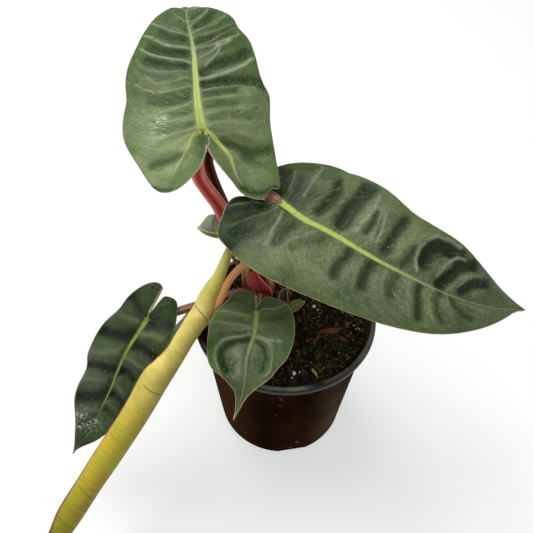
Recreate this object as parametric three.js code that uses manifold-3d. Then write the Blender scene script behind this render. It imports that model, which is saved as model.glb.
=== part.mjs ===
import * as THREE from 'three';
import { mergeVertices } from 'three/addons/utils/BufferGeometryUtils.js';
import Module from 'manifold-3d';

// Young philodendron billietiae in a thin nursery pot, in millimetres.
// The origin is the middle of the pot's underside, +Z is up, -Y is the front and +X the right.

// Pot: a tapered wall with a rolled lip and four drainage slots at the foot.
const POT_HEIGHT = 118.5;
const LIP_RADIUS = 65;
const LIP_DEPTH = 5.8;
const WALL_TOP_RADIUS = 60.4;
const FOOT_RADIUS = 50.4;
const POT_WALL = 1.4;
const FLOOR = 1.6;
const SLOT_WIDTH = 21;
const SLOT_HEIGHT = 4.4;
const SLOT_REACH = 6;
const SLOT_ANGLES = [-80, 10, 100, 190];

// Growing mix: its mean level, its bumps, and the point where the leaf stalks stand together.
const SOIL_LEVEL = 114.2;
const SOIL_BUMP = 1.1;
const SOIL_GAP = 0.5;
const CROWN = [-19, 24];
const STEM_RADIUS = 5.2;
const ROOTED = 105;

// Blades.
const BLADE_THICKNESS = 0.85;
const SEAT_GAP = 0.32;

const wasm = await Module();
wasm.setup();
const part = new THREE.Group();
const v3 = (p) => new THREE.Vector3(p[0], p[1], p[2]);
const lerp = (a, b, t) => a + (b - a) * t;

function addPiece(name, geometry, color, roughness, metalness = 0) {
  const material = new THREE.MeshStandardMaterial({ color, roughness, metalness });
  const mesh = new THREE.Mesh(geometry, material);
  mesh.name = name;
  part.add(mesh);
}

function toSolid(geometry) {
  const bare = geometry.index ? geometry.clone() : geometry;
  bare.deleteAttribute('normal');
  bare.deleteAttribute('uv');
  const merged = mergeVertices(bare, 1e-4);
  return new wasm.Manifold(new wasm.Mesh({
    numProp: 3,
    vertProperties: new Float32Array(merged.attributes.position.array),
    triVerts: new Uint32Array(merged.index.array),
  }));
}

function toGeometry(solid) {
  const mesh = solid.getMesh();
  const geometry = new THREE.BufferGeometry();
  geometry.setAttribute('position', new THREE.BufferAttribute(new Float32Array(mesh.vertProperties), 3));
  geometry.setIndex(new THREE.BufferAttribute(new Uint32Array(mesh.triVerts), 1));
  return geometry;
}

// Uniform Catmull-Rom value of a list of number tuples at t, counted in list steps.
function splineAt(list, t) {
  const last = list.length - 1;
  const i = Math.min(Math.floor(t), last - 1);
  const f = t - i;
  const b = list[i];
  const c = list[i + 1];
  const a = i > 0 ? list[i - 1] : b.map((x, k) => 2 * x - c[k]);
  const d = i + 2 <= last ? list[i + 2] : c.map((x, k) => 2 * x - b[k]);
  return b.map((x, k) => 0.5 * (2 * x + (c[k] - a[k]) * f + (2 * a[k] - 5 * x + 4 * c[k] - d[k]) * f * f
    + (3 * x - a[k] - 3 * c[k] + d[k]) * f * f * f));
}

// A leaf's midrib as a space curve with a roll angle, measured in millimetres from the petiole.
class Midrib {
  constructor(axis, rolls, insertion) {
    const steps = 16;
    const list = axis.map((p, i) => [...p, THREE.MathUtils.degToRad(rolls[i])]);
    this.samples = [];
    for (let i = 0; i <= (axis.length - 1) * steps; i += 1) {
      this.samples.push(splineAt(list, i / steps));
    }
    this.lengths = [0];
    for (let i = 1; i < this.samples.length; i += 1) {
      this.lengths.push(this.lengths[i - 1] + v3(this.samples[i]).distanceTo(v3(this.samples[i - 1])));
    }
    const zero = this.lengths[insertion * steps];
    this.lengths = this.lengths.map((x) => x - zero);
  }

  // Point, direction, side vector (photo right or front) and face normal at a distance along the midrib.
  frame(along) {
    const last = this.lengths.length - 1;
    const u = THREE.MathUtils.clamp(along, this.lengths[0], this.lengths[last]);
    let i = 1;
    while (i < last && this.lengths[i] < u) {
      i += 1;
    }
    const f = (u - this.lengths[i - 1]) / (this.lengths[i] - this.lengths[i - 1]);
    const low = this.samples[i - 1];
    const high = this.samples[i];
    const slope = (k) => v3(this.samples[Math.min(k + 1, last)]).sub(v3(this.samples[Math.max(k - 1, 0)]))
      .normalize();
    const tangent = slope(i - 1).lerp(slope(i), f).normalize();
    const point = v3(low).lerp(v3(high), f).addScaledVector(tangent, along - u);
    const flat = new THREE.Vector3().crossVectors(tangent, new THREE.Vector3(0, 0, 1)).normalize();
    const up = new THREE.Vector3().crossVectors(flat, tangent);
    const roll = lerp(low[3], high[3], f);
    const side = flat.multiplyScalar(Math.cos(roll)).addScaledVector(up, Math.sin(roll));
    const normal = new THREE.Vector3().crossVectors(side, tangent);
    return { point, tangent, side, normal };
  }
}

// Each row of a half blade is one vein: where it meets the margin (along, across), where it leaves
// the midrib, and the height of the pillow between it and the next vein.
function bladePoint(leaf, midrib, rows, a, b) {
  const [along, across, rib] = splineAt(rows, a);
  const row = Math.min(Math.floor(a), rows.length - 2);
  const between = a - row;
  const root = Math.max(rib, 0);
  const u = root + (along - root) * b ** leaf.sweep;
  const w = across * b;
  const sideways = across >= 0 ? 1 : -1;
  const fold = THREE.MathUtils.degToRad(leaf.fold[sideways > 0 ? 1 : 0]);
  const pillow = rows[row][3] * Math.sin(Math.PI * between) ** 0.8 * Math.sin(Math.PI * b ** 0.75) ** 0.7;
  const arch = leaf.arch * 4 * b * (1 - b) * Math.min(1, Math.abs(across) / 30);
  const wave = leaf.wave * Math.sin(Math.PI * a * 0.5 + sideways) * b ** 3;
  const height = pillow + arch + wave - leaf.droop * w * w + Math.abs(w) * Math.sin(fold);
  const { point, side, normal } = midrib.frame(u);
  return point.addScaledVector(side, w * Math.cos(fold)).addScaledVector(normal, height);
}

// A thin closed blade: both halves share the midrib, the underside carries its keel, and both
// faces are split into triangles alike.
function bladeGeometry(leaf) {
  const midrib = new Midrib(leaf.axis, leaf.rolls, 1);
  const ribEnd = leaf.left[leaf.left.length - 1][0];
  const top = [];
  const keel = [];
  const triangles = [];
  const known = new Map();
  const vertex = (p, drop) => {
    const key = `${p.x.toFixed(3)},${p.y.toFixed(3)},${p.z.toFixed(3)}`;
    if (!known.has(key)) {
      known.set(key, top.length);
      top.push(p);
      keel.push(drop);
    }
    return known.get(key);
  };
  for (const rows of [leaf.left, leaf.right]) {
    const count = (rows.length - 1) * leaf.split;
    const grid = [];
    for (let i = 0; i <= count; i += 1) {
      const a = i / leaf.split;
      const [, across, rib] = splineAt(rows, a);
      const taper = 1 - Math.max(rib, 0) / ribEnd;
      const ribHalf = leaf.rib * (0.3 + 0.7 * taper);
      const firstStep = Math.min(0.3, ribHalf / Math.max(Math.abs(across), 0.01));
      const line = [];
      for (let j = 0; j <= leaf.columns; j += 1) {
        const b = j === 0 ? 0 : lerp(firstStep, 1, (j - 1) / (leaf.columns - 1));
        const drop = j === 0 ? leaf.keel * taper : 0;
        line.push(vertex(bladePoint(leaf, midrib, rows, a, b), drop));
      }
      grid.push(line);
    }
    const flip = rows === leaf.left;
    for (let i = 0; i < count; i += 1) {
      for (let j = 0; j < leaf.columns; j += 1) {
        const quad = [grid[i][j], grid[i][j + 1], grid[i + 1][j + 1], grid[i + 1][j]];
        for (const [p, q, r] of [[0, 1, 2], [0, 2, 3]]) {
          const face = flip ? [quad[r], quad[q], quad[p]] : [quad[p], quad[q], quad[r]];
          if (new Set(face).size === 3) {
            triangles.push(face);
          }
        }
      }
    }
  }
  const normals = top.map(() => new THREE.Vector3());
  for (const [p, q, r] of triangles) {
    const cross = new THREE.Vector3().crossVectors(
      top[q].clone().sub(top[p]), top[r].clone().sub(top[p]));
    [p, q, r].forEach((k) => normals[k].add(cross));
  }
  const total = top.length;
  const positions = top.flatMap((p) => [p.x, p.y, p.z]);
  top.forEach((p, k) => {
    const q = p.clone().addScaledVector(normals[k].normalize(), -(BLADE_THICKNESS + keel[k]));
    positions.push(q.x, q.y, q.z);
  });
  const index = [];
  const edges = new Set(triangles.flatMap(([p, q, r]) => [`${p}-${q}`, `${q}-${r}`, `${r}-${p}`]));
  for (const [p, q, r] of triangles) {
    index.push(p, q, r, p + total, r + total, q + total);
    for (const [m, n] of [[p, q], [q, r], [r, p]]) {
      if (!edges.has(`${n}-${m}`)) {
        index.push(m, m + total, n + total, m, n + total, n);
      }
    }
  }
  const geometry = new THREE.BufferGeometry();
  geometry.setAttribute('position', new THREE.Float32BufferAttribute(positions, 3));
  geometry.setIndex(index);
  return { geometry, midrib };
}

// Stalk section: a rounded bar with a groove along its upper side.
function stalkSection(radius, groove) {
  const shape = new THREE.Shape();
  const sides = 10;
  for (let i = 0; i < sides; i += 1) {
    const angle = (i / sides) * Math.PI * 2;
    const r = radius * (i === 2 ? 1 - groove : 1 + 0.05 * Math.cos(4 * angle));
    const p = [r * Math.cos(angle), r * Math.sin(angle) * 0.94];
    if (i === 0) {
      shape.moveTo(...p);
    } else {
      shape.lineTo(...p);
    }
  }
  shape.closePath();
  return shape;
}

function stalkGeometry(points, radius, endRadius, steps, groove = 0.2) {
  const path = new THREE.CatmullRomCurve3(points.map(v3), false, 'centripetal');
  const geometry = new THREE.ExtrudeGeometry(stalkSection(radius, groove), {
    steps, bevelEnabled: false, extrudePath: path, curveSegments: 1,
  });
  const centres = path.getSpacedPoints(steps);
  const position = geometry.attributes.position;
  const p = new THREE.Vector3();
  for (let i = 0; i < position.count; i += 1) {
    p.fromBufferAttribute(position, i);
    let nearest = 0;
    centres.forEach((c, k) => {
      if (c.distanceToSquared(p) < centres[nearest].distanceToSquared(p)) {
        nearest = k;
      }
    });
    const scale = lerp(1, endRadius / radius, nearest / steps);
    p.sub(centres[nearest]).multiplyScalar(scale).add(centres[nearest]);
    position.setXYZ(i, p.x, p.y, p.z);
  }
  return geometry;
}

// The end of a petiole lies just under the blade, beside the keel of the midrib.
function seatUnder(midrib, leaf, before, endRadius) {
  const { point, normal } = midrib.frame(0);
  const along = point.clone().sub(v3(before)).normalize();
  const reach = endRadius * Math.sqrt(Math.max(0, 1 - along.dot(normal) ** 2)) * 1.06;
  const drop = BLADE_THICKNESS + leaf.keel + SEAT_GAP + reach;
  const seat = point.addScaledVector(normal, -drop);
  return [seat.x, seat.y, seat.z];
}

const LEAVES = {
  upper: {
    axis: [[-47.3, 12.4, 219], [-54, 40, 242], [-57, 52, 251], [-60, 74, 257.5], [-62.5, 94, 263],
      [-66, 111, 267], [-70, 126, 270], [-72, 145, 270.5], [-70, 162, 264], [-67, 176, 252],
      [-64, 186, 238]],
    rolls: [0, 0, 0, 0, 0, 0, 0, 0, 0, 0, 0],
    fold: [0, 0],
    droop: 0.004,
    arch: 1.5,
    wave: 1.2,
    sweep: 1.35,
    rib: 2.4,
    keel: 1.6,
    columns: 6,
    split: 2,
    left: [[-9, 1, 0, 0], [-17, -1.5, 0, 0.6], [-25, -8, 0, 1.2], [-33, -21, 0, 1.8], [-31, -33, 0, 2.4],
      [-14, -39, 0, 2.8], [2, -45.5, 3, 3], [18, -46.5, 10, 3], [32, -44.5, 20, 3.2], [46, -45, 31, 3.4],
      [60, -43, 42, 3.4], [74, -38.5, 54, 3.4], [88, -31.5, 66, 3.2], [99, -23, 79, 2.8],
      [112, -14.5, 92, 2.2], [129, -9.5, 107, 1.6], [146, -5.5, 124, 1], [160, -2.5, 143, 0.5],
      [168, 0, 168, 0]],
    right: [[-9, 1, 0, 0], [-18, 4.5, 0, 0.6], [-31, 12, 0, 1.2], [-42, 19, 0, 1.8], [-46, 30, 0, 2.2],
      [-40, 37, 0, 2], [-38.5, 43.5, 0, 2.6], [-22, 45.5, 0, 2.8], [0, 46.5, 3, 3], [18, 46.5, 10, 3], [32, 46, 20, 3.2],
      [47, 42, 31, 3.4], [62, 40.5, 42, 3.4], [76, 39, 54, 3.4], [90, 34.5, 66, 3.2],
      [104, 30, 79, 2.8], [119, 22, 92, 2.4], [134, 15.5, 107, 1.8], [149, 9, 124, 1],
      [160, 3.5, 143, 0.5], [168, 0, 168, 0]],
    color: 0x4f6a45,
    petiole: {
      points: [[-10.9, 29.7, ROOTED], [-10.9, 29.7, 117], [-18, 30, 134], [-31, 30.5, 155],
        [-41.7, 32, 177], [-46.5, 33.5, 189.6], [-54, 36, 201.4], [-58.4, 38, 209.5], [-58.5, 40, 224.5]],
      radius: 4.2,
      endRadius: 3.2,
      color: 0xa5533c,
    },
  },
  right: {
    axis: [[-25, 29, 208], [-6, 20, 204], [8, 5, 203], [23, -3, 201], [38, -13, 198], [54, -22, 194],
      [73, -29, 188], [92, -33, 180], [120, -33, 168], [154, -23, 152]],
    rolls: [-8, -8, -8, -12, -16, -20, -24, -26, -28, -28],
    fold: [0, 0],
    droop: 0,
    arch: 2.5,
    wave: 0.8,
    sweep: 1.3,
    rib: 2.2,
    keel: 1.6,
    columns: 6,
    split: 2,
    left: [[-2, 0, 0, 0], [-2.4, -3.4, 0, 0.2], [-9, -4.8, 0, 0.4], [-17, -7.5, 0, 0.8], [-20, -16, 0, 1.2],
      [-14, -25, 0, 1.8], [-5, -37, 0, 2.8], [8, -48, 5, 4], [24, -49.5, 14, 4.5], [42, -48, 26, 4.5], [58, -45, 41, 5],
      [79, -40, 58, 5], [97, -38, 76, 5], [119, -36, 95, 4.5], [138, -30, 112, 4],
      [156, -22, 128, 3], [170, -11.5, 146, 1.5], [180, -3.5, 165, 0.6], [186, 0, 186, 0]],
    right: [[-2, 0, 0, 0], [-2.4, 3.4, 0, 0.2], [-10, 4.8, 0, 0.4], [-21, 7.5, 0, 0.8], [-27, 15, 0, 1.2],
      [-26, 28, 0, 1.6], [-20, 41, 0, 2.2], [2, 48, 5, 3], [22, 48, 14, 4], [40, 45.5, 26, 4], [57, 41, 41, 4.5],
      [74, 37, 58, 4.5], [94, 33, 76, 4.5], [112, 28, 95, 4], [127, 22.5, 112, 3.5],
      [143, 15.5, 128, 2.5], [160, 8, 146, 1.5], [175, 1.8, 165, 0.6], [186, 0, 186, 0]],
    color: 0x3d5737,
    petiole: {
      points: [[-20.6, 33.2, ROOTED], [-20.6, 33.2, 117], [-26, 37, 134], [-34, 40.5, 151],
        [-40, 43.5, 169], [-44.2, 46.5, 179.4], [-48.6, 50, 189.4], [-52.2, 54, 198.2], [-54.4, 57.5, 207],
        [-52.8, 59, 216], [-45.9, 57.5, 222.4], [-36.5, 51, 222.5], [-27.5, 41, 218.5], [-19.5, 30.5, 211.5]],
      inLine: 9,
      radius: 3.5,
      endRadius: 2.8,
      color: 0x5a2f1e,
    },
  },
  hanging: {
    axis: [[-85, -4, 143], [-93, -21, 135], [-100, -30, 128], [-107, -37, 119], [-113, -43, 108],
      [-120, -51, 93], [-128, -58, 79], [-136, -67, 66], [-149, -78, 53]],
    rolls: [0, 0, 0, 0, 0, 0, 0, 0, 0],
    fold: [0, 0],
    droop: 0,
    arch: 1.5,
    wave: 0.6,
    sweep: 1.25,
    rib: 1.7,
    keel: 1.2,
    columns: 5,
    split: 3,
    left: [[-4, 0, 0, 0], [-16, -2.5, 0, 0.5], [-19, -6, 0, 1], [-18, -13, 0, 2], [-9, -18, 0, 3],
      [4, -23, 2, 3.5], [20, -24.5, 12, 4.5], [36, -24.5, 25, 4], [54, -24, 39, 4.5], [70, -22, 54, 4],
      [84, -15, 70, 3], [97, -8.5, 85, 1.5], [108, -2.5, 99, 0.6], [116, 0, 116, 0]],
    right: [[-4, 0, 0, 0], [-18, 1.5, 0, 0.5], [-24, 1.5, 0, 1], [-25.5, 7, 0, 2], [-21, 13.5, 0, 2.5],
      [-10, 20.5, 0, 3], [6, 24, 2, 3.5], [27, 31, 12, 4.5], [44, 30.5, 25, 4.5], [62, 29.5, 39, 4.5],
      [77, 29, 54, 4], [91, 24, 70, 3], [104, 11, 85, 1.5], [110, 4.5, 99, 0.6], [116, 0, 116, 0]],
    color: 0x2c3d2b,
    petiole: {
      points: [[-25.5, 17.5, ROOTED], [-25.5, 17.5, 116], [-28, 14.5, 122.5], [-35, 7.5, 128.5],
        [-49.2, -3, 134], [-58.8, -9.2, 136.3], [-68, -12.9, 136.2], [-78, -14.5, 133]],
      radius: 3.5,
      endRadius: 2.7,
      color: 0x7a5748,
    },
  },
  heart: {
    axis: [[-20, -4, 138], [-20, -18, 140], [-21, -35, 138.5], [-24, -44, 136], [-26, -53, 133],
      [-26, -59, 129], [-28, -69, 120], [-33, -79, 107]],
    rolls: [0, 0, 0, 0, 0, 0, 0, 0],
    fold: [0, 0],
    droop: 0,
    arch: 2,
    wave: 0.4,
    sweep: 1.3,
    rib: 1.3,
    keel: 0.8,
    columns: 5,
    split: 3,
    left: [[-4, 0, 0, 0], [-9, -2, 0, 0.3], [-14, -5, 0, 0.8], [-15, -11, 0, 1.2], [-9, -20, 0, 1.5],
      [4, -25, 1, 1.8], [19, -26, 5, 2.2], [32, -24, 17, 3], [43, -18, 27, 3], [51, -9, 37, 1.5],
      [58, -3.5, 49, 0.6], [66, -1.5, 60, 0.2], [75, 0, 75, 0]],
    right: [[-4, 0, 0, 0], [-11, 0.8, 0, 0.3], [-20, 1.5, 0, 0.8], [-22, 7, 0, 1.2], [-20, 15, 0, 1.5],
      [-10, 21, 0, 1.5], [4, 29, 1, 1.8], [20, 30.5, 5, 2.2], [33, 26.5, 17, 3], [42, 21.5, 27, 3],
      [50, 12.5, 37, 1.5], [58, 5, 49, 0.6], [66, 2, 60, 0.2], [75, 0, 75, 0]],
    color: 0x4a6241,
    petiole: {
      points: [[-17.6, 12.4, ROOTED], [-17.6, 12.4, 115.5], [-17.8, 10.4, 123], [-18.4, 4, 130.5],
        [-19.2, -5, 134.5]],
      radius: 2.2,
      endRadius: 1.7,
      color: 0x8a5a3c,
    },
  },
  folded: {
    axis: [[-38.7, 35.4, 153], [-43, 36.3, 154.5], [-47.9, 35.7, 157], [-54.1, 35.5, 159],
      [-59.1, 37.4, 160.5], [-63.8, 42, 161.5]],
    rolls: [0, 0, 0, 0, 0, 0],
    fold: [66, 14],
    droop: 0,
    arch: 0.5,
    wave: 0.3,
    sweep: 1.2,
    rib: 0.9,
    keel: 0.5,
    columns: 3,
    split: 2,
    left: [[-1.5, 0, 0, 0], [-3, -1, 0, 0.1], [-4, -3, 0, 0.3], [-3, -5.5, 0, 0.4], [1, -7, 1, 0.5],
      [7, -7, 4, 0.5], [14, -6, 9, 0.4], [19.5, -3.5, 15, 0.2], [23.7, 0, 23.7, 0]],
    right: [[-1.5, 0, 0, 0], [-2, 1, 0, 0.1], [-2, 4, 0, 0.3], [0.5, 9, 0, 0.5], [4, 14, 1, 0.6],
      [9, 16.5, 4, 0.7], [15.5, 14.5, 9, 0.6], [20.5, 8, 15, 0.3], [23.7, 0, 23.7, 0]],
    color: 0x6c7f55,
    petiole: {
      points: [[-24.2, 29.2, ROOTED], [-24.2, 29.2, 116], [-28.8, 30.6, 124.5], [-34.7, 31.2, 133.8],
        [-38.4, 32, 141.5], [-41, 33.2, 148]],
      radius: 1.8,
      endRadius: 1.3,
      color: 0xa87a62,
    },
  },
  tucked: {
    axis: [[-59.4, -10.8, 127], [-64.7, -15.6, 124], [-76.8, -19.2, 110], [-87.1, -23.2, 97],
      [-98.5, -27, 83], [-108.4, -31.6, 71]],
    rolls: [-10, -10, -10, -10, -10, -10],
    fold: [0, 0],
    droop: 0,
    arch: 1,
    wave: 0.3,
    sweep: 1.2,
    rib: 1.1,
    keel: 0.6,
    columns: 4,
    split: 2,
    left: [[-3, 0, 0, 0], [-8, -1.5, 0, 0.3], [-12, -5, 0, 0.6], [-9, -10, 0, 1], [2, -12, 1, 1.2],
      [14, -12.5, 7, 1.5], [27, -11, 17, 1.5], [39, -8, 28, 1.2], [51, -3.5, 42, 0.6],
      [59.5, 0, 59.5, 0]],
    right: [[-3, 0, 0, 0], [-8, 1.5, 0, 0.3], [-12, 6, 0, 0.6], [-9, 11.5, 0, 1], [2, 13.5, 1, 1.2],
      [14, 13.5, 7, 1.5], [27, 12, 17, 1.5], [39, 8.5, 28, 1.2], [51, 3.5, 42, 0.6],
      [59.5, 0, 59.5, 0]],
    color: 0x55684d,
    petiole: {
      points: [[-10.4, 21.7, ROOTED], [-10.4, 21.7, 117], [-12, 21, 134], [-17.5, 19.5, 146.5],
        [-25.3, 16.4, 151], [-31, 11.5, 152.3], [-34.5, 7.6, 151.6], [-38.5, 3.2, 149], [-41.9, -0.7, 144],
        [-44.7, -4.8, 138.5], [-47.9, -8.8, 134.4], [-53, -10.8, 130.4]],
      inLine: 8,
      radius: 3.1,
      endRadius: 2.2,
      color: 0xb8683c,
    },
  },
};

for (const [name, leaf] of Object.entries(LEAVES)) {
  const { geometry, midrib } = bladeGeometry(leaf);
  const { points, radius, endRadius, color, inLine } = leaf.petiole;
  const tail = inLine
    ? [-inLine, leaf.left[0][0] - SEAT_GAP].map((u) => midrib.frame(u).point.toArray())
    : [seatUnder(midrib, leaf, points[points.length - 1], endRadius)];
  const steps = Math.max(8, Math.round(points.length * 1.9));
  const path = [...points, ...tail];
  let blade = geometry;
  if (inLine) {
    const room = stalkGeometry([...path, midrib.frame(leaf.left[0][0] + SEAT_GAP).point.toArray()],
      radius + 3 * SEAT_GAP, endRadius + 3 * SEAT_GAP, steps * 3, 0);
    blade = toGeometry(toSolid(geometry).subtract(toSolid(room)));
  }
  addPiece(`blade_${name}`, blade, leaf.color, 0.45);
  addPiece(`petiole_${name}`, stalkGeometry(path, radius, endRadius, steps), color, 0.5);
}

// Newest leaf, still rolled: a spiral section whose outer wrap ends in a step along the spear.
const SPEAR_PATH = [
  [-37.1, -8.7, 187, 3.3], [-43.2, -18.7, 174, 4.4], [-48.5, -25.9, 165, 5.8], [-53.2, -31.6, 158.5, 6.5],
  [-57.6, -36.3, 152.5, 6.8], [-64.6, -43.2, 144, 6.6], [-71.2, -50.3, 136, 6.5], [-78.5, -56.7, 129, 8],
  [-84.9, -61.9, 122.5, 9.1], [-97, -76.8, 107, 8.4], [-112.9, -96.5, 91, 8.2], [-124.4, -111.3, 80, 7.8],
  [-134.4, -125.8, 71, 7.8], [-139.7, -135.5, 65, 6.7], [-146, -148.1, 58.5, 5.1],
  [-152.6, -161.4, 52, 2.9], [-156.6, -170.2, 48, 0.7],
];
const SPEAR_SIDES = 16;
const SPEAR_STEP = 0.13;

function spearGeometry() {
  const rings = [];
  const count = (SPEAR_PATH.length - 1) * 2;
  const at = (i) => splineAt(SPEAR_PATH, THREE.MathUtils.clamp(i / 2, 0, SPEAR_PATH.length - 1));
  for (let i = 0; i <= count; i += 1) {
    const here = at(i);
    const ahead = v3(at(Math.min(i + 1, count))).sub(v3(at(Math.max(i - 1, 0)))).normalize();
    const side = new THREE.Vector3().crossVectors(ahead, new THREE.Vector3(0, 0, 1)).normalize();
    const up = new THREE.Vector3().crossVectors(side, ahead);
    const wrap = THREE.MathUtils.smoothstep(i, 2, 10);
    const ring = [];
    for (let k = 0; k <= SPEAR_SIDES; k += 1) {
      const turn = k / SPEAR_SIDES;
      const angle = turn * Math.PI * 2 + 0.25;
      const r = here[3] * (1.02 - SPEAR_STEP * wrap * turn - (k === SPEAR_SIDES ? 0.004 : 0));
      ring.push(v3(here).addScaledVector(side, r * Math.cos(angle)).addScaledVector(up, r * Math.sin(angle)));
    }
    rings.push(ring);
  }
  const width = SPEAR_SIDES + 1;
  const positions = rings.flat().flatMap((p) => [p.x, p.y, p.z]);
  const index = [];
  for (let i = 0; i < rings.length - 1; i += 1) {
    for (let k = 0; k < width; k += 1) {
      const a = i * width + k;
      const b = i * width + ((k + 1) % width);
      index.push(a, b + width, b, a, a + width, b + width);
    }
  }
  for (const [base, order] of [[0, 1], [(rings.length - 1) * width, -1]]) {
    const centre = positions.length / 3;
    const [x, y, z] = SPEAR_PATH[order > 0 ? 0 : SPEAR_PATH.length - 1];
    positions.push(x, y, z);
    for (let k = 0; k < width; k += 1) {
      const a = base + k;
      const b = base + ((k + 1) % width);
      index.push(...(order > 0 ? [centre, a, b] : [centre, b, a]));
    }
  }
  const geometry = new THREE.BufferGeometry();
  geometry.setAttribute('position', new THREE.Float32BufferAttribute(positions, 3));
  geometry.setIndex(index);
  return geometry;
}
addPiece('spear_leaf', spearGeometry(), 0x9aa046, 0.42);
addPiece('petiole_spear', stalkGeometry([[-28.6, 25.2, ROOTED], [-28.6, 25.2, 117], [-28.6, 24.9, 130],
  [-29.4, 23.4, 146], [-29.8, 18, 163.7], [-30, 10.5, 177.5], [-30.6, 3.5, 186.7], [-33.2, -3, 190.4],
  [-36.4, -7.9, 187.9]], 3.3, 3, 18), 0x8d7a45, 0.5);

// Sheaths and a seedling at the crown.
const SMALL = {
  sheath_red: {
    axis: [[-15.6, 16.4, 113], [-15.8, 16.6, 116], [-17, 17.2, 121.5], [-19.2, 18.2, 128],
      [-20.8, 19.2, 134], [-21.8, 20.2, 140.5]],
    rolls: [65, 65, 65, 65, 65, 65],
    fold: [18, 33],
    left: [[-0.8, 0, 0, 0], [-0.6, -2, 0, 0], [2, -3.8, 1, 0.1], [7, -5.5, 4, 0.3], [12, -7.3, 8, 0.3],
      [17, -7.8, 12, 0.2], [22, -4, 18, 0], [25.5, 0, 25.5, 0]],
    right: [[-0.8, 0, 0, 0], [-0.6, 3, 0, 0], [2, 8, 1, 0.1], [6, 9.5, 4, 0.3], [11, 8.5, 8, 0.3],
      [16, 6.5, 12, 0.2], [21.5, 3, 18, 0], [25.5, 0, 25.5, 0]],
    color: 0x9c3b36,
  },
  sheath_dry: {
    axis: [[-1, 9.6, 113.5], [-0.8, 10.4, 116.3], [-0.3, 12.3, 120.3], [0.7, 13.8, 124], [2.6, 15.2, 127.4]],
    fold: [35, 35],
    half: [5, 4.5],
    length: 12.6,
    color: 0x6b4437,
  },
  seedling: {
    axis: [[0.5, 0.5, 115], [3, 2, 116.9], [7, 4.8, 118.8], [11, 7.5, 119.3], [15, 10, 118.4]],
    fold: [18, 18],
    half: [4.4, 4.4],
    length: 15,
    color: 0x6f7a3a,
  },
};
function smallBlade(spec) {
  const { half = [1, 1], length = 1 } = spec;
  const profile = [[-0.8, 0, 0, 0], [-0.9, 0.35, 0, 0], [0.12 * length, 0.8, 0.08 * length, 0],
    [0.4 * length, 1, 0.3 * length, 0.4], [0.7 * length, 0.72, 0.55 * length, 0.3],
    [0.9 * length, 0.28, 0.82 * length, 0], [length, 0, length, 0]];
  const side = (sign) => profile.map(([u, w, rib, h]) => [u, w * half[sign > 0 ? 1 : 0] * sign, rib, h]);
  return bladeGeometry({
    rolls: [0, 0, 0, 0, 0],
    droop: 0,
    arch: 0.3,
    wave: 0,
    sweep: 1.2,
    rib: 0.6,
    keel: 0.3,
    columns: 3,
    split: 2,
    left: side(-1),
    right: side(1),
    ...spec,
  }).geometry;
}

// Stub of stem in the middle of the stalks, with the rings of old leaf scars.
const stemProfile = [[0, 98], [STEM_RADIUS - 0.4, 98], [STEM_RADIUS - 0.4, 113], [STEM_RADIUS, 115],
  [STEM_RADIUS - 0.5, 116.6], [STEM_RADIUS - 0.3, 118], [STEM_RADIUS - 1.4, 119.6], [2, 120.6], [0, 120.8]];
const stem = new THREE.LatheGeometry(stemProfile.map(([x, y]) => new THREE.Vector2(x, y)), 16);
stem.rotateX(Math.PI / 2);
stem.translate(CROWN[0], CROWN[1], 0);
addPiece('stem', toGeometry(toSolid(stem)), 0x5b4632, 0.8);

// Growing mix: fills the pot, with a crumbly top and a plain hole for each stalk.
function soilTop(x, y) {
  const r = Math.hypot(x, y);
  const grain = Math.sin(x * 0.55 + 1.3) * Math.cos(y * 0.62 - 0.4) + 0.6 * Math.sin(x * 0.23 - y * 0.31)
    + 0.5 * Math.cos(x * 1.15 + y * 0.9);
  const crownRise = 1.2 * Math.exp(-((x - CROWN[0]) ** 2 + (y - CROWN[1]) ** 2) / 300);
  return SOIL_LEVEL + crownRise + SOIL_BUMP * 0.6 * grain - 1.2 * THREE.MathUtils.smoothstep(r, 46, 58);
}
const wallSlope = (WALL_TOP_RADIUS - FOOT_RADIUS) / (POT_HEIGHT - LIP_DEPTH);
const innerRadius = (z) => FOOT_RADIUS + wallSlope * z - POT_WALL - SOIL_GAP;
const soilProfile = [[0, FLOOR + SOIL_GAP], [innerRadius(2) - 0.8, FLOOR + SOIL_GAP], [innerRadius(3), 3], [innerRadius(110), 110],
  [innerRadius(112.4), 112.4]];
for (let i = 1; i <= 9; i += 1) {
  soilProfile.push([innerRadius(112.4) * (1 - i / 9), SOIL_LEVEL]);
}
const soil = new THREE.LatheGeometry(soilProfile.map(([x, y]) => new THREE.Vector2(x, y)), 36);
soil.rotateX(Math.PI / 2);
const soilPoints = soil.attributes.position;
for (let i = 0; i < soilPoints.count; i += 1) {
  if (soilPoints.getZ(i) > 113) {
    soilPoints.setZ(i, soilTop(soilPoints.getX(i), soilPoints.getY(i)));
  }
}
let soilSolid = toSolid(soil);
const holes = [[...CROWN, STEM_RADIUS, 97.6], [-28.6, 25.2, 3.3, ROOTED - 0.4]];
for (const leaf of Object.values(LEAVES)) {
  const [x, y] = leaf.petiole.points[0];
  holes.push([x, y, leaf.petiole.radius, ROOTED - 0.4]);
}
for (const [x, y, radius, bottom] of holes) {
  const wide = radius * 1.1 + SOIL_GAP;
  const hole = new THREE.CylinderGeometry(wide, wide, 30, 12);
  hole.rotateX(Math.PI / 2);
  hole.translate(x, y, bottom + 15);
  soilSolid = soilSolid.subtract(toSolid(hole));
}
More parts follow.
